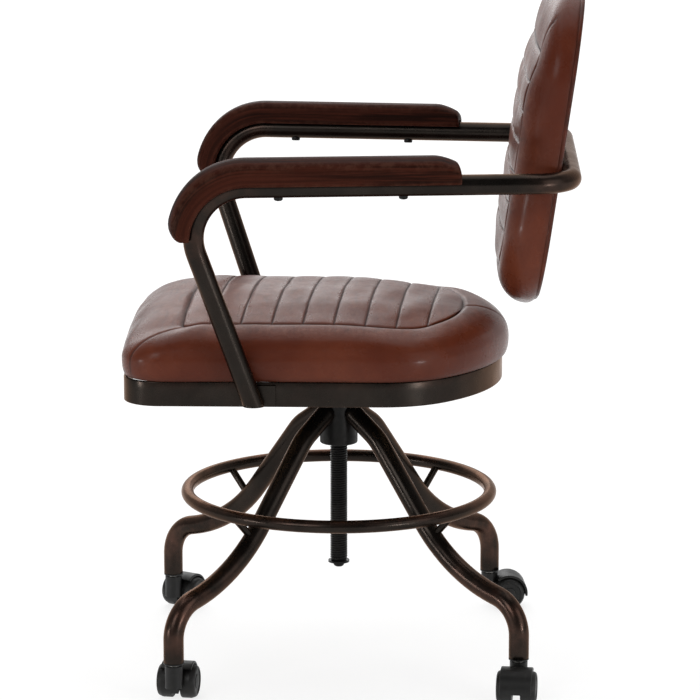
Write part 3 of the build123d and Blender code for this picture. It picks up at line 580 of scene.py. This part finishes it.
def half_loop(half_width, low_end, high_end, counts):
    """The right half of a pad's outline from the low tip to the high tip.

    An end is (end of the straight side, corner radius, tip). A bow about a point on the middle
    line meets a corner arc, which meets the straight side. Returns points and outward normals.
    """
    bow_count, corner_count, side_count = counts
    parts = []
    for sign, (end, corner, tip) in ((-1, low_end), (1, high_end)):
        inset, reach = half_width - corner, abs(tip) - abs(end)
        bow = (inset**2 + reach**2 - corner**2) / (2 * (reach - corner))
        bow_centre = abs(tip) - bow
        lean = atan2(abs(end) - bow_centre, inset)
        spread = np.linspace(0, 1, bow_count) ** 1.25
        arcs = []
        for angle, centre, radius in (
            (pi / 2 + (lean - pi / 2) * spread, (0, sign * bow_centre), bow),
            (np.linspace(lean, 0, corner_count)[1:], (inset, sign * abs(end)), corner),
        ):
            normal = np.stack([np.cos(angle), sign * np.sin(angle)], axis=1)
            arcs.append((np.array(centre) + radius * normal, normal))
        parts.append([np.concatenate(pair) for pair in zip(*arcs)])
    low, high = parts
    t = np.linspace(0, 1, side_count)[1:-1, None]
    side_points = low[0][-1] + (high[0][-1] - low[0][-1]) * t
    side = side_points, np.repeat([[1.0, 0.0]], len(t), axis=0)
    return [np.concatenate([a, b, c[::-1]]) for a, b, c in zip(low, side, high)]


def full_loop(half):
    """Half a loop and its mirror image as one closed loop, anticlockwise from the low tip."""
    return np.concatenate([half, half[-2:0:-1] * np.array([-1.0, 1.0])])


BAND_OUTLINE = (0.200, (-0.214, 0.045, -0.262), (0.056, 0.115, 0.207))
BAND_COUNTS = (30, 22, 60)
BAND_SEAM_HEIGHT = 0.002  # the section's line starts and ends here, on its outer face
BAND_EDGE = 0.0014  # the finish is rubbed this far from the band's edges


def make_band():
    """The seat's band: a flat bar's section with eased edges carried round the seat's outline."""
    loop, normals = map(full_loop, half_loop(*BAND_OUTLINE, BAND_COUNTS))
    corners = [
        (0, BAND_SEAM_HEIGHT), (0, BAND_HEIGHT), (-BAND_WALL, BAND_HEIGHT), (-BAND_WALL, 0), (0, 0),
        (0, BAND_SEAM_HEIGHT),
    ]
    section = eased(corners, [0.0012, 0.0008, 0.0008, 0.0012], 0.008, 0.5)[:-1]
    flat = loop[:, None] + normals[:, None] * section[None, :, :1]
    high = np.broadcast_to(BAND_BOTTOM + section[None, :, 1:], (len(loop), len(section), 1))
    points = np.concatenate([flat, high], axis=-1).reshape(-1, 3)
    from_edge = np.minimum(np.abs(section[:, 1]), np.abs(section[:, 1] - BAND_HEIGHT))
    rub = np.tile(0.03 + 0.10 * (from_edge < BAND_EDGE), len(loop))
    faces = ring_faces(len(loop), len(section), True)
    band = make_piece("seat_rim_band", points, faces, "seat", "bronzed_steel", {"rub": rub})
    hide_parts("seat_band")


make_band()


# Arms

def arm_corners(side):
    """Foot, front corner and rear corner of one arm's middle line; side is 1 or -1."""
    return tuple(
        np.array([side * x, y, z])
        for (x, y), z in ((STRUT_FOOT, BAND_BOTTOM), (ARM_FRONT, ARM_HEIGHT), (ARM_REAR, ARM_HEIGHT))
    )


def make_arm_tube():
    """The arm frame: a round tube along its middle line, from one strut's foot to the other's."""
    left, right = arm_corners(1), arm_corners(-1)
    bends = [ARM_BEND, ARM_REAR_BEND, ARM_REAR_BEND, ARM_BEND]
    path, ways, bend, _ = bent_path([*left, *right[::-1]], bends, 0.006, 0.05)
    reference = np.array([0.7, 0.5, -0.5])
    points, faces = round_bar(path, ways, TUBE_RADIUS, reference, ease=0.0016, level=BAND_BOTTOM + 0.004)
    rub = {"rub": along_rings(0.02 + 0.14 * bend)}
    arm_tube = make_piece("arm_tube_frame", points, faces, "seat", "bronzed_steel", rub)
    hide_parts("arm_frame")


def rest_section():
    """A rest's section, a rounded block with a crowned top and a groove, and its nearness to an edge."""
    lip = np.sqrt(REST_GROOVE**2 - REST_BASE**2)
    brow, crown = REST_HEIGHT - 0.0040, REST_HEIGHT + 0.0012
    corners = [
        (REST_BASE, lip), (REST_BASE, REST_HALF_WIDTH), (brow, REST_HALF_WIDTH), (crown, 0),
        (brow, -REST_HALF_WIDTH), (REST_BASE, -REST_HALF_WIDTH), (REST_BASE, -lip),
    ]
    block = eased(corners, [0.0022, 0.0130, 0.03, 0.0130, 0.0022], 0.003, 0.12)
    dip = np.linspace(-1, 1, 15)[1:-1] * acos(REST_BASE / REST_GROOVE)
    section = np.concatenate([block, REST_GROOVE * np.stack([np.cos(dip), np.sin(dip)], axis=1)])
    out, across = section[:, 0], np.abs(section[:, 1])
    edge = bell(np.hypot(out - (REST_HEIGHT - 0.005), across - (REST_HALF_WIDTH - 0.005)), 0.006)
    edge += 0.8 * bell(np.hypot(out - REST_BASE, across - REST_HALF_WIDTH), 0.0035)
    return section, edge


def rounded_end(distance, radius):
    """1 at an end, falling along a quarter of a circle to 0 at the radius from it."""
    return 1 - np.sqrt(np.clip(1 - np.clip(1 - distance / radius, 0, 1) ** 2, 0, 1))


def make_armrest(hand, side):
    """A wooden rest: its section carried along the arm and round its bend.

    Its top falls to a slope at the rear and a round nose at the front, and its sides draw in there.
    """
    foot, front, rear = arm_corners(side)
    forward = unit(front - rear)
    down = unit(foot - front)
    up = unit(forward * (down @ forward) - down)
    half_corner = acos(float(-forward @ down)) / 2
    centre = front + unit(down - forward) * (ARM_BEND / sin(half_corner))
    across = np.cross(forward, up)
    section, edge = rest_section()
    total = REST_LENGTH + REST_WRAP * ARM_BEND
    fine = np.array([0.0, 0.0006, 0.0014, 0.0026, 0.004, 0.006, 0.0085, 0.0115, 0.015])
    s = np.unique(np.concatenate([fine, np.linspace(0.018, total - 0.018, 90), total - fine, [0.026]]))
    from_rear, from_nose = s, total - s
    slope = np.clip(1 - from_rear / 0.032, 0, 1) ** 1.7
    taper = 0.0035 * smooth_step(s, REST_LENGTH + 0.02, total)
    top = REST_HEIGHT - taper - 0.011 * slope - 0.015 * rounded_end(from_nose, 0.016)
    top = top - 0.006 * rounded_end(from_rear, 0.005)
    pinch = 0.004 * rounded_end(np.minimum(from_rear, from_nose), 0.004)
    out, wide = section[None, :, 0], section[None, :, 1]
    stretch = (top[:, None] - REST_SHOULDER) / (REST_HEIGHT - REST_SHOULDER)
    rise = np.where(out > REST_SHOULDER, REST_SHOULDER + (out - REST_SHOULDER) * stretch, out)
    wide = wide * (1 - np.where(np.abs(wide) > REST_GROOVE, pinch[:, None] / REST_HALF_WIDTH, 0))
    turn = np.clip((s - REST_LENGTH) / ARM_BEND, 0, None)[:, None]
    run = np.minimum(s - REST_LENGTH, 0.0)[:, None]
    reach = ARM_BEND + rise
    x, y = run + reach * np.sin(turn), reach * np.cos(turn)
    rings = centre + x[..., None] * forward + y[..., None] * up + wide[..., None] * across
    points, faces = closed_loft(rings, flip=True)
    grain = np.stack([rise, wide, s[:, None] + 0 * rise], axis=-1).reshape(-1, 3)
    grain = np.concatenate([grain, grain[:1], grain[-1:]]) + np.array([0.3 * side, 0, 0])
    tips = np.maximum(np.exp(-from_rear / 0.003), np.exp(-from_nose / 0.005))[:, None]
    edges = np.maximum(edge[None], tips * 0.8 + 0 * edge[None]).ravel()
    marks = {"grain": grain, "edge": np.concatenate([edges, edges[:1], edges[-1:]])}
    rest = make_piece(f"wooden_rest_{hand}", points, faces, "seat", "arm_wood", marks)
    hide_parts(f"armrest_{hand}")


make_arm_tube()
for hand, side in (("left", 1), ("right", -1)):
    make_armrest(hand, side)


# Cushions

PAD_COUNTS = (26, 30, 50)  # points on an outline's bow, corner and side
UNDER_SHARES = np.array([0.35, 0.8, 0.97])  # rings of a cover's under side, as shares of its edge
FLOOR_SHARES = np.array([0.985, 0.94, 0.5])  # rings of its floor below the panel
FLOOR_DEPTHS = np.array([0.004, 0.008, 0.010])
PANEL_DEPTH = 0.005
PAD_UNEVEN, PAD_UNEVEN_SIZE = 0.0011, 0.085
CLOTH_FRAMES, SWELL_LIMIT = 20, 0.0026
CLOTH_SETTINGS = {
    "use_pressure": True, "uniform_pressure_force": 4.0, "tension_stiffness": 40,
    "compression_stiffness": 40, "bending_stiffness": 3, "vertex_group_mass": "held",
}
HELD_ROWS = 5  # rings at the coarse pad's under side that the cloth run leaves in place


class Pad:
    """A crowned pad on a base plane: an outline, a sewn panel inside it and a long profile.

    axes are the base plane's directions across, along and up. corners and bends give the crown's
    long profile, which turns about a line arch below the crown. girth is the height of the widest
    line, and the wall below it draws in by draw, and by tuck_in more at the low end. The sewn panel
    moves along by skew for each unit across, and its high end's middle moves across by drift. slack
    makes the border at the low end less full. hollow lifts the under side off the base plane.
    """

    def __init__(self, origin, axes, outer, panel, corners, bends, arch, girth, draw,
                 skew=0.0, drift=0.0, slack=0.0, hollow=0.0, tuck_in=0.0):
        self.origin, self.frame = np.asarray(origin, float), np.array(axes, float)
        self.outer, self.normals = map(full_loop, half_loop(*outer, PAD_COUNTS))
        self.panel_half = half_loop(*panel, PAD_COUNTS)[0]
        self.low_end = np.clip(-self.normals[:, 1], 0, 1)
        self.drawn = draw + tuck_in * self.low_end**2
        self.line = eased(corners, bends, 0.002, 0.02)
        self.crown, self.arch = max(height for _, height in corners), arch
        self.girth, self.draw, self.hollow = girth, draw, hollow
        self.skew, self.drift, self.slack = skew, drift, slack

    def place(self, local):
        """Local (across, along, up) to the chair's frame."""
        return self.origin + local @ self.frame

    def top(self, x, y):
        """Height of the crown: the long profile turned about the arch line."""
        ridge = np.interp(y, self.line[:, 0], self.line[:, 1])
        axis = self.crown - self.arch
        return axis + np.sqrt(np.maximum((ridge - axis) ** 2 - x**2, 1e-9))

    def sewn(self, x, y):
        """The panel as it is sewn on: its high end's middle drifts across, and the whole leans."""
        tip = self.panel_half[-1, 1]
        from_middle = np.clip(np.abs(x) / self.panel_half[:, 0].max(), 0, 1)
        x = x + self.drift * smooth_step(y, 0.4 * tip, tip) * (1 - from_middle**2)
        return x, y - self.skew * x

    def cover(self, rise_rows, tuck_rows, seams, sink):
        """The cover: under side, drawn-in wall, full border up to the panel's seam, and a sunken floor.

        A border line is about a quarter of an ellipse from the widest line to the panel's edge. Its
        seams are narrow dips, darkened with painted shade. Each is (place on the outline, strength,
        angles of the quarter at which it starts and is full), and one that starts below the widest
        line also darkens the wall with painted shade. The panel's seam, the tuck and the under side
        are darkened with painted shade too.
        """
        outer, normals = self.outer, self.normals
        panel = np.stack(self.sewn(*full_loop(self.panel_half).T), axis=1)
        count = len(outer)
        edge_top = self.top(panel[:, 0], panel[:, 1])
        turn = np.linspace(0, pi / 2, rise_rows)[:, None]
        ease_in = 1 - np.cos(turn) ** 0.92
        ease_up = np.sin(turn) ** (0.90 + self.slack * self.low_end[None])
        flat = outer[None] + (panel - outer)[None] * ease_in[..., None]
        high = self.girth + (edge_top - self.girth)[None] * ease_up
        width = np.linalg.norm(panel - outer, axis=1)[None] * (1 - ease_in)
        high = high - sink * bell(width, 0.0024)
        # Painted shade along the panel's seam.
        seam_shade_and_tone = bell(width, 0.0028)
        tuck = np.linspace(-pi / 2, 0, tuck_rows, endpoint=False)[:, None]
        # Painted shade in the tuck at the foot of the wall.
        tuck_shade = 0.75 * np.exp(-self.girth * (1 + np.sin(tuck)) / 0.003) + np.zeros((1, count))
        for place, strength, reach in seams:
            if reach[0] < 0:
                run = np.linalg.norm(outer - outer[place], axis=1)[None]
                tuck_shade = np.maximum(tuck_shade, 0.9 * bell(run, 0.0014))
            gap = np.linalg.norm(flat - flat[:, [place]], axis=-1)
            fade = smooth_step(turn, *reach)
            high = high - 0.0016 * strength * fade * bell(gap, 0.0022)
            seam_shade_and_tone = np.maximum(seam_shade_and_tone, 0.9 * fade * bell(gap, 0.0014))
        low_flat = outer[None] - normals[None] * (self.drawn * (1 - np.cos(tuck)))[..., None]
        low_high = self.girth * (1 + np.sin(tuck)) + 0 * edge_top[None]
        under_flat = (outer - normals * self.drawn[:, None])[None] * UNDER_SHARES[:, None, None]
        under_high = np.full((len(UNDER_SHARES), count), self.hollow)
        floor_flat = panel[None] * FLOOR_SHARES[:, None, None]
        floor_high = self.top(floor_flat[..., 0], floor_flat[..., 1]) - FLOOR_DEPTHS[:, None]
        flats = np.concatenate([under_flat, low_flat, flat, floor_flat])
        highs = np.concatenate([under_high, low_high, high, floor_high])
        local = np.concatenate([flats, highs[..., None]], axis=-1)
        nothing = np.zeros_like(floor_high)
        # Painted shade for the colour: 0.6 on the under side, then the tuck's and the seams' shade; none
        # on the floor.
        marks = np.concatenate([np.full_like(under_high, 0.6), tuck_shade, seam_shade_and_tone, nothing])
        crest = smooth_step(turn, 0.7, 1.2) * (1 - seam_shade_and_tone)
        worn = np.concatenate([np.zeros_like(under_high), np.zeros_like(tuck_shade), crest, nothing])
        return local, marks, worn

    def panel_top(self, stations, rows_per_rib, columns, puff, sink):
        """The sewn panel: ribs between the stations, arches that meet their neighbours in creases."""
        t = 0.5 - 0.5 * np.cos(np.linspace(0, pi, rows_per_rib + 1))
        spans = [low + (high - low) * t[:-1] for low, high in zip(stations, stations[1:])]
        y = np.concatenate(spans + [stations[-1:]])
        ribs = np.concatenate([1 - np.abs(2 * t[:-1] - 1) ** 2.6] * (len(stations) - 1) + [[0.0]])
        low, high = self.panel_half[0, 1], self.panel_half[-1, 1]
        y = np.clip(y, low + 2e-5, high - 2e-5)
        wide = np.interp(y, self.panel_half[:, 1], self.panel_half[:, 0])
        s = np.sin(np.linspace(-pi / 2, pi / 2, columns))
        x = wide[:, None] * s[None]
        along = y[:, None] + 0 * x
        rim = np.minimum(wide[:, None] * (1 - np.abs(s))[None], np.minimum(along - low, high - along))
        seam = bell(rim, 0.0026)
        lift = (1 - np.exp(-rim / 0.006)) * ribs[:, None] * puff
        crease = bell(np.abs(along[..., None] - stations[1:-1]).min(axis=-1), 0.0012)
        x, sewn = self.sewn(x, along)
        z = self.top(x, sewn) + lift - sink * seam - 0.0012 * crease
        worn = (1 - np.exp(-rim / 0.010)) * ribs[:, None] ** 2
        # The second value is painted shade along the panel's seam and in the creases between ribs.
        return np.stack([x, sewn, z], axis=-1), np.maximum(seam, crease), worn


def close_panel(top, drop):
    """Points and faces of a panel whose under side lies a drop away from its top."""
    rows, columns = top.shape[:2]
    shift = rows * columns
    index = np.arange(shift).reshape(rows, columns)
    top_faces = grid_faces(rows, columns)
    under_faces = top_faces[:, ::-1] + shift
    border = np.concatenate([index[0, :-1], index[:-1, -1], index[-1, :0:-1], index[:0:-1, 0]])
    after = np.roll(border, -1)
    walls = np.stack([border + shift, after + shift, after, border], axis=-1)
    points = np.concatenate([top.reshape(-1, 3), (top - drop).reshape(-1, 3)])
    return points, np.concatenate([top_faces, under_faces, walls]).tolist()


def swell(pad, name, rise_rows=12, tuck_rows=6):
    """How a pad moves when blown up as cloth: points of a coarse copy and how far each moves."""
    local = pad.cover(rise_rows, tuck_rows, [], 0.0)[0][:-len(FLOOR_SHARES), ::3]
    rings = np.concatenate([local, local[-1:] * 0.66, local[-1:] * 0.33])
    inner = rings[-2:]
    rings[-2:, :, 2] = pad.top(inner[..., 0], inner[..., 1])
    points, faces = closed_loft(pad.place(rings))
    mesh = bpy.data.meshes.new(name)
    mesh.from_pydata(points.tolist(), [], faces)
    blown = add_object(name, mesh)
    held = blown.vertex_groups.new(name="held")
    held.add(list(range(rings.shape[1] * HELD_ROWS)) + [len(points) - 2], 1.0, "REPLACE")
    cloth = blown.modifiers.new("cloth", "CLOTH")
    for key, value in CLOTH_SETTINGS.items():
        setattr(cloth.settings, key, value)
    cloth.settings.effector_weights.gravity = 0.0
    cloth.point_cache.frame_start, cloth.point_cache.frame_end = 1, CLOTH_FRAMES
    for number in range(1, CLOTH_FRAMES + 1):
        bpy.context.scene.frame_set(number)
    shaped = blown.evaluated_get(bpy.context.evaluated_depsgraph_get()).to_mesh()
    moved = np.zeros(len(points) * 3)
    shaped.vertices.foreach_get("co", moved)
    moved = moved.reshape(-1, 3) - points
    reach = np.linalg.norm(moved, axis=1, keepdims=True)
    moved = moved * np.minimum(1.0, SWELL_LIMIT / np.maximum(reach, 1e-9))
    bpy.data.objects.remove(blown)
    bpy.data.meshes.remove(mesh)
    bpy.context.scene.frame_set(1)
    return points, moved


def carry(points, places, moves, size=0.016, share=1500):
    """Moves carried from coarse places to fine points by a mean weighted with a bell of distance."""
    carried = []
    for part in np.array_split(points, max(1, len(points) // share)):
        gap = ((part[:, None] - places[None]) ** 2).sum(axis=-1)
        weight = np.exp(-gap / (2 * size**2)) + 1e-12
        carried.append((weight @ moves) / weight.sum(axis=1, keepdims=True))
    return np.concatenate(carried)


def dress(pad, name, cad_node, stations, seams, puff, sink, seed):
    """Make a pad's cover and panel, swollen by the cloth run and a little uneven."""
    places, moves = swell(pad, name + "_blown")
    local, seam_shade_and_tone, worn = pad.cover(30, 8, seams, sink)
    cover = closed_loft(pad.place(local))
    top, top_seam_shade, top_worn = pad.panel_top(stations, 22, 97, puff, sink)
    panel = close_panel(pad.place(top), PANEL_DEPTH * pad.frame[2])
    # The painted shade carried to each piece; the cover's under side pole gets 0.6 of it.
    for part, (points, faces), seam_shading, wear in (
        ("cover", cover, np.append(seam_shade_and_tone.ravel(), [0.6, 0.0]), np.append(worn.ravel(), [0, 0])),
        ("panel", panel, np.tile(top_seam_shade.ravel(), 2), np.tile(top_worn.ravel(), 2)),
    ):
        if places is not None:
            points = points + carry(points, places, moves)
        up = (points - pad.origin) @ pad.frame[2]
        uneven = PAD_UNEVEN * wander(points, PAD_UNEVEN_SIZE, seed) * smooth_step(up, 0.004, 0.02)
        points = points + uneven[:, None] * pad.frame[2]
        marks = {"seam_shade_and_tone": seam_shading, "worn": wear}
        make_piece(f"{name}_{part}", points, faces, "seat", "leather", marks)
    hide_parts(cad_node)


SEAT_PANEL_ENDS = (-0.181, 0.160)
seat_pad = Pad(
    (0, 0, BAND_TOP + 0.0004), [(1, 0, 0), (0, 1, 0), (0, 0, 1)],
    outer=(0.207, (-0.211, 0.052, -0.266), (0.056, 0.122, 0.2155)),
    panel=(0.160, (-0.161, 0.018, SEAT_PANEL_ENDS[0]), (0.052, 0.085, SEAT_PANEL_ENDS[1])),
    corners=[(-0.300, 0.005), (-0.176, 0.0785), (0.030, 0.0785), (0.240, 0.0530)], bends=[0.07, 0.7],
    arch=0.780, girth=0.024, draw=0.007, skew=0.060, drift=0.032, slack=0.16,
)
BACK_LEAN = radians(8.2)
BACK_STAND_OFF = 0.003  # from the arm tube's surface to the back's rear face
BACK_PANEL_ENDS = (-0.137, 0.143)
back_up = np.array([0, -cos(BACK_LEAN), sin(BACK_LEAN)])
back_along = np.array([0, sin(BACK_LEAN), cos(BACK_LEAN)])
back_pad = Pad(
    np.array([0, ARM_REAR[1], ARM_HEIGHT]) + back_up * (TUBE_RADIUS + BACK_STAND_OFF),
    [(1, 0, 0), back_along, back_up],
    outer=(0.182, (-0.064, 0.110, -0.186), (0.107, 0.110, 0.229)),
    panel=(0.142, (-0.064, 0.070, BACK_PANEL_ENDS[0]), (0.123, 0.018, BACK_PANEL_ENDS[1])),
    corners=[(-0.250, -0.002), (-0.132, 0.0545), (0.112, 0.0545), (0.280, 0.001)], bends=[0.06, 0.26],
    arch=4.500, girth=0.014, draw=0.004, hollow=0.006, tuck_in=0.007,
)

# Border seams lie at numbered points of an outline, counted from its low tip; -n mirrors n.
HIGH_TIP = len(seat_pad.outer) // 2
FRONT_SEAM = PAD_COUNTS[0] + 12
TOP_SEAM = HIGH_TIP - 33
WHOLE_WALL, UPPER_BORDER, WHOLE_BORDER = (-0.2, 0.0), (0.25, 0.8), (0.0, 0.1)
dress(
    seat_pad, "seat_pad", "seat_cushion", np.linspace(*SEAT_PANEL_ENDS, 10),
    [(place, 1.3, WHOLE_WALL) for place in (FRONT_SEAM, -FRONT_SEAM, HIGH_TIP)],
    puff=0.0009, sink=0.0020, seed=5,
)
dress(
    back_pad, "back_pad", "backrest_cushion",
    np.array([BACK_PANEL_ENDS[0], -0.085, -0.047, -0.009, 0.029, 0.067, 0.105, BACK_PANEL_ENDS[1]]),
    [(TOP_SEAM, 1.0, UPPER_BORDER), (-TOP_SEAM, 1.0, UPPER_BORDER), (0, 1.0, WHOLE_BORDER)],
    puff=0.0014, sink=0.0016, seed=8,
)

PIPING_RADIUS, PIPING_RISE = 0.0030, 0.0012
LINING_INSETS = np.array([0.0040, 0.0040, 0.0052, 0.0075, 0.0110, 0.0160])
LINING_HEIGHTS = np.array([0.0060, 0.0030, 0.0022, 0.0012, 0.0004, 0.0])
LINING_SHARES = np.array([0.85, 0.6, 0.3, 0.1])


def rear_edge():
    """The line round the back's rear edge, drawn in at the low end, and its outward normals."""
    tuck = (back_pad.drawn - back_pad.draw)[:, None]
    return back_pad.outer - back_pad.normals * tuck, back_pad.normals


def make_piping():
    """A thin round piping sewn along the rear edge: a circle carried round the outline."""
    loop, normals = rear_edge()
    turn = full_turn(14)
    out = (np.cos(turn) * PIPING_RADIUS - PIPING_RADIUS)[None, :, None]
    flat = loop[:, None] + normals[:, None] * out
    rise = (np.sin(turn) * PIPING_RADIUS + PIPING_RISE)[None, :, None]
    high = np.broadcast_to(rise, flat.shape[:2] + (1,))
    points = back_pad.place(np.concatenate([flat, high], axis=-1).reshape(-1, 3))
    # An uneven darker tone along the piping, mixed toward the colour of the painted seam shade.
    seam_shade_and_tone = 0.42 + 0.3 * wander(points, 0.020, 21)
    faces = ring_faces(len(loop), len(turn), True)
    piping = make_piece("back_edge_piping", points, faces, "seat", "leather", {"seam_shade_and_tone": seam_shade_and_tone})


def make_lining():
    """The rear cover: rings from the piping to the middle, rising from a shallow trough at the edge."""
    loop, normals = rear_edge()
    edge = loop[None] - normals[None] * LINING_INSETS[:, None, None]
    shares = LINING_SHARES[:, None, None]
    inner = edge[-1:] * shares + np.array([0, 0.02]) * (1 - shares)
    flat = np.concatenate([edge[:1] * 0.5, edge, inner])
    high = np.concatenate([LINING_HEIGHTS[:1], LINING_HEIGHTS, np.zeros(len(LINING_SHARES))])
    rings = np.concatenate([flat, np.broadcast_to(high[:, None, None], flat.shape[:2] + (1,))], axis=-1)
    points, faces = closed_loft(back_pad.place(rings), flip=True)
    seam_shade_and_tone = np.full(len(points), 0.1)
    lining = make_piece("back_rear_lining", points, faces, "seat", "leather", {"seam_shade_and_tone": seam_shade_and_tone})
    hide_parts("backrest_rear_cover")


make_piping()
make_lining()


# Camera, light and floor

def facing(rightward, upward, backward, place):
    """The matrix that sets a camera or a lamp at a place."""
    rows = [[rightward[i], upward[i], backward[i], place[i]] for i in range(3)]
    return Matrix(rows + [[0, 0, 0, 1]])


def place_camera(eye, yaw, pitch, lens):
    """The camera that was fitted to the photo."""
    look = np.array([-cos(yaw) * cos(pitch), sin(yaw) * cos(pitch), -sin(pitch)])
    rightward = np.array([sin(yaw), cos(yaw), 0.0])
    data = bpy.data.cameras.new("photo_camera")
    data.lens = lens
    data.sensor_width = 36.0
    data.clip_end = 60.0
    camera = add_object("photo_camera", data)
    camera.matrix_world = facing(rightward, np.cross(rightward, look), -look, eye)
    bpy.context.scene.camera = camera


def soft_light(name, place, target, size, power):
    """A soft box that faces a target."""
    data = bpy.data.lights.new(name, "AREA")
    data.shape = "RECTANGLE"
    data.size, data.size_y = size
    data.energy = power
    lamp = add_object(name, data)
    way = unit(np.subtract(place, target))
    side = unit(np.cross((0.0, 0.02, 1.0), way))
    lamp.matrix_world = facing(side, np.cross(way, side), way, place)
    lamp.visible_camera = False


def light_studio():
    """A bright backdrop behind the chair and a dim studio in front; the camera sees plain white."""
    world = bpy.data.worlds.new("studio_white")
    bpy.context.scene.world = world
    world.use_nodes = True
    studio = NodeTree(world.node_tree)
    way = studio.node("ShaderNodeTexCoord").outputs["Generated"]
    nearness = studio.node("ShaderNodeSeparateXYZ", {0: way}).outputs["X"]
    glow = studio.spread(nearness, 0.35, -0.75, 0.10, 0.74)
    seen = studio.node("ShaderNodeLightPath").outputs["Is Camera Ray"]
    strength = studio.node("ShaderNodeMix", {0: seen, 2: glow, 3: 1.0}).outputs[0]
    backdrop = world.node_tree.nodes["Background"]
    studio.put(backdrop.inputs["Strength"], strength)
    studio.put(backdrop.inputs["Color"], (1, 1, 1))


def lay_floor(half=14):
    """A pale square floor that glows to white for the camera and in reflections, most far away."""
    f = Finish("pale_floor")
    f.finish(Base_Color=(0.9, 0.9, 0.9), Roughness=0.9)
    glow = f.node("ShaderNodeEmission", {"Strength": 1.15}).outputs[0]
    ray = f.node("ShaderNodeLightPath").outputs
    seen = f.reckon("MAXIMUM", ray["Is Camera Ray"], ray["Is Glossy Ray"])
    away = f.node("ShaderNodeVectorMath", {0: f.place}, operation="LENGTH").outputs["Value"]
    share = f.times(seen, f.spread(away, 0.40, 1.5, 0.68, 0.98))
    blend = f.node("ShaderNodeMixShader", {0: share, 1: f.shader.outputs[0], 2: glow}).outputs[0]
    f.put(f.tree.nodes["Material Output"].inputs["Surface"], blend)
    mesh = bpy.data.meshes.new("floor")
    corners = [(-half, -half, 0), (half, -half, 0), (half, half, 0), (-half, half, 0)]
    mesh.from_pydata(corners, [], [(0, 1, 2, 3)])
    mesh.materials.append(f.material)
    floor = add_object("floor", mesh)


place_camera(eye=(4.55385, 0.14182, 1.32766), yaw=-0.0280, pitch=0.2016, lens=188.87)
soft_light("overhead_box", (-0.6, 0, 2.8), (0, 0, 0.5), (2.7, 2.7), 35)
soft_light("camera_side_box", (3.0, -1.6, 2.1), (0, 0, 0.45), (1.5, 1.5), 33)
soft_light("rear_side_box", (1.8, 2.6, 1.6), (0, 0.1, 0.5), (2.2, 2.4), 23)
soft_light("far_side_box", (-2.6, -0.6, 1.8), (0, 0, 0.5), (1.8, 1.8), 20)
soft_light("low_front_box", (1.4, -2.5, 0.36), (0.2, -0.22, 0.42), (0.40, 0.14), 13)
soft_light("low_rear_box", (2.0, 1.95, 0.32), (0.2, 0.1, 0.42), (0.40, 0.14), 12)
light_studio()
lay_floor()

bpy.context.scene.view_settings.view_transform = "Standard"
bpy.context.view_layer.update()
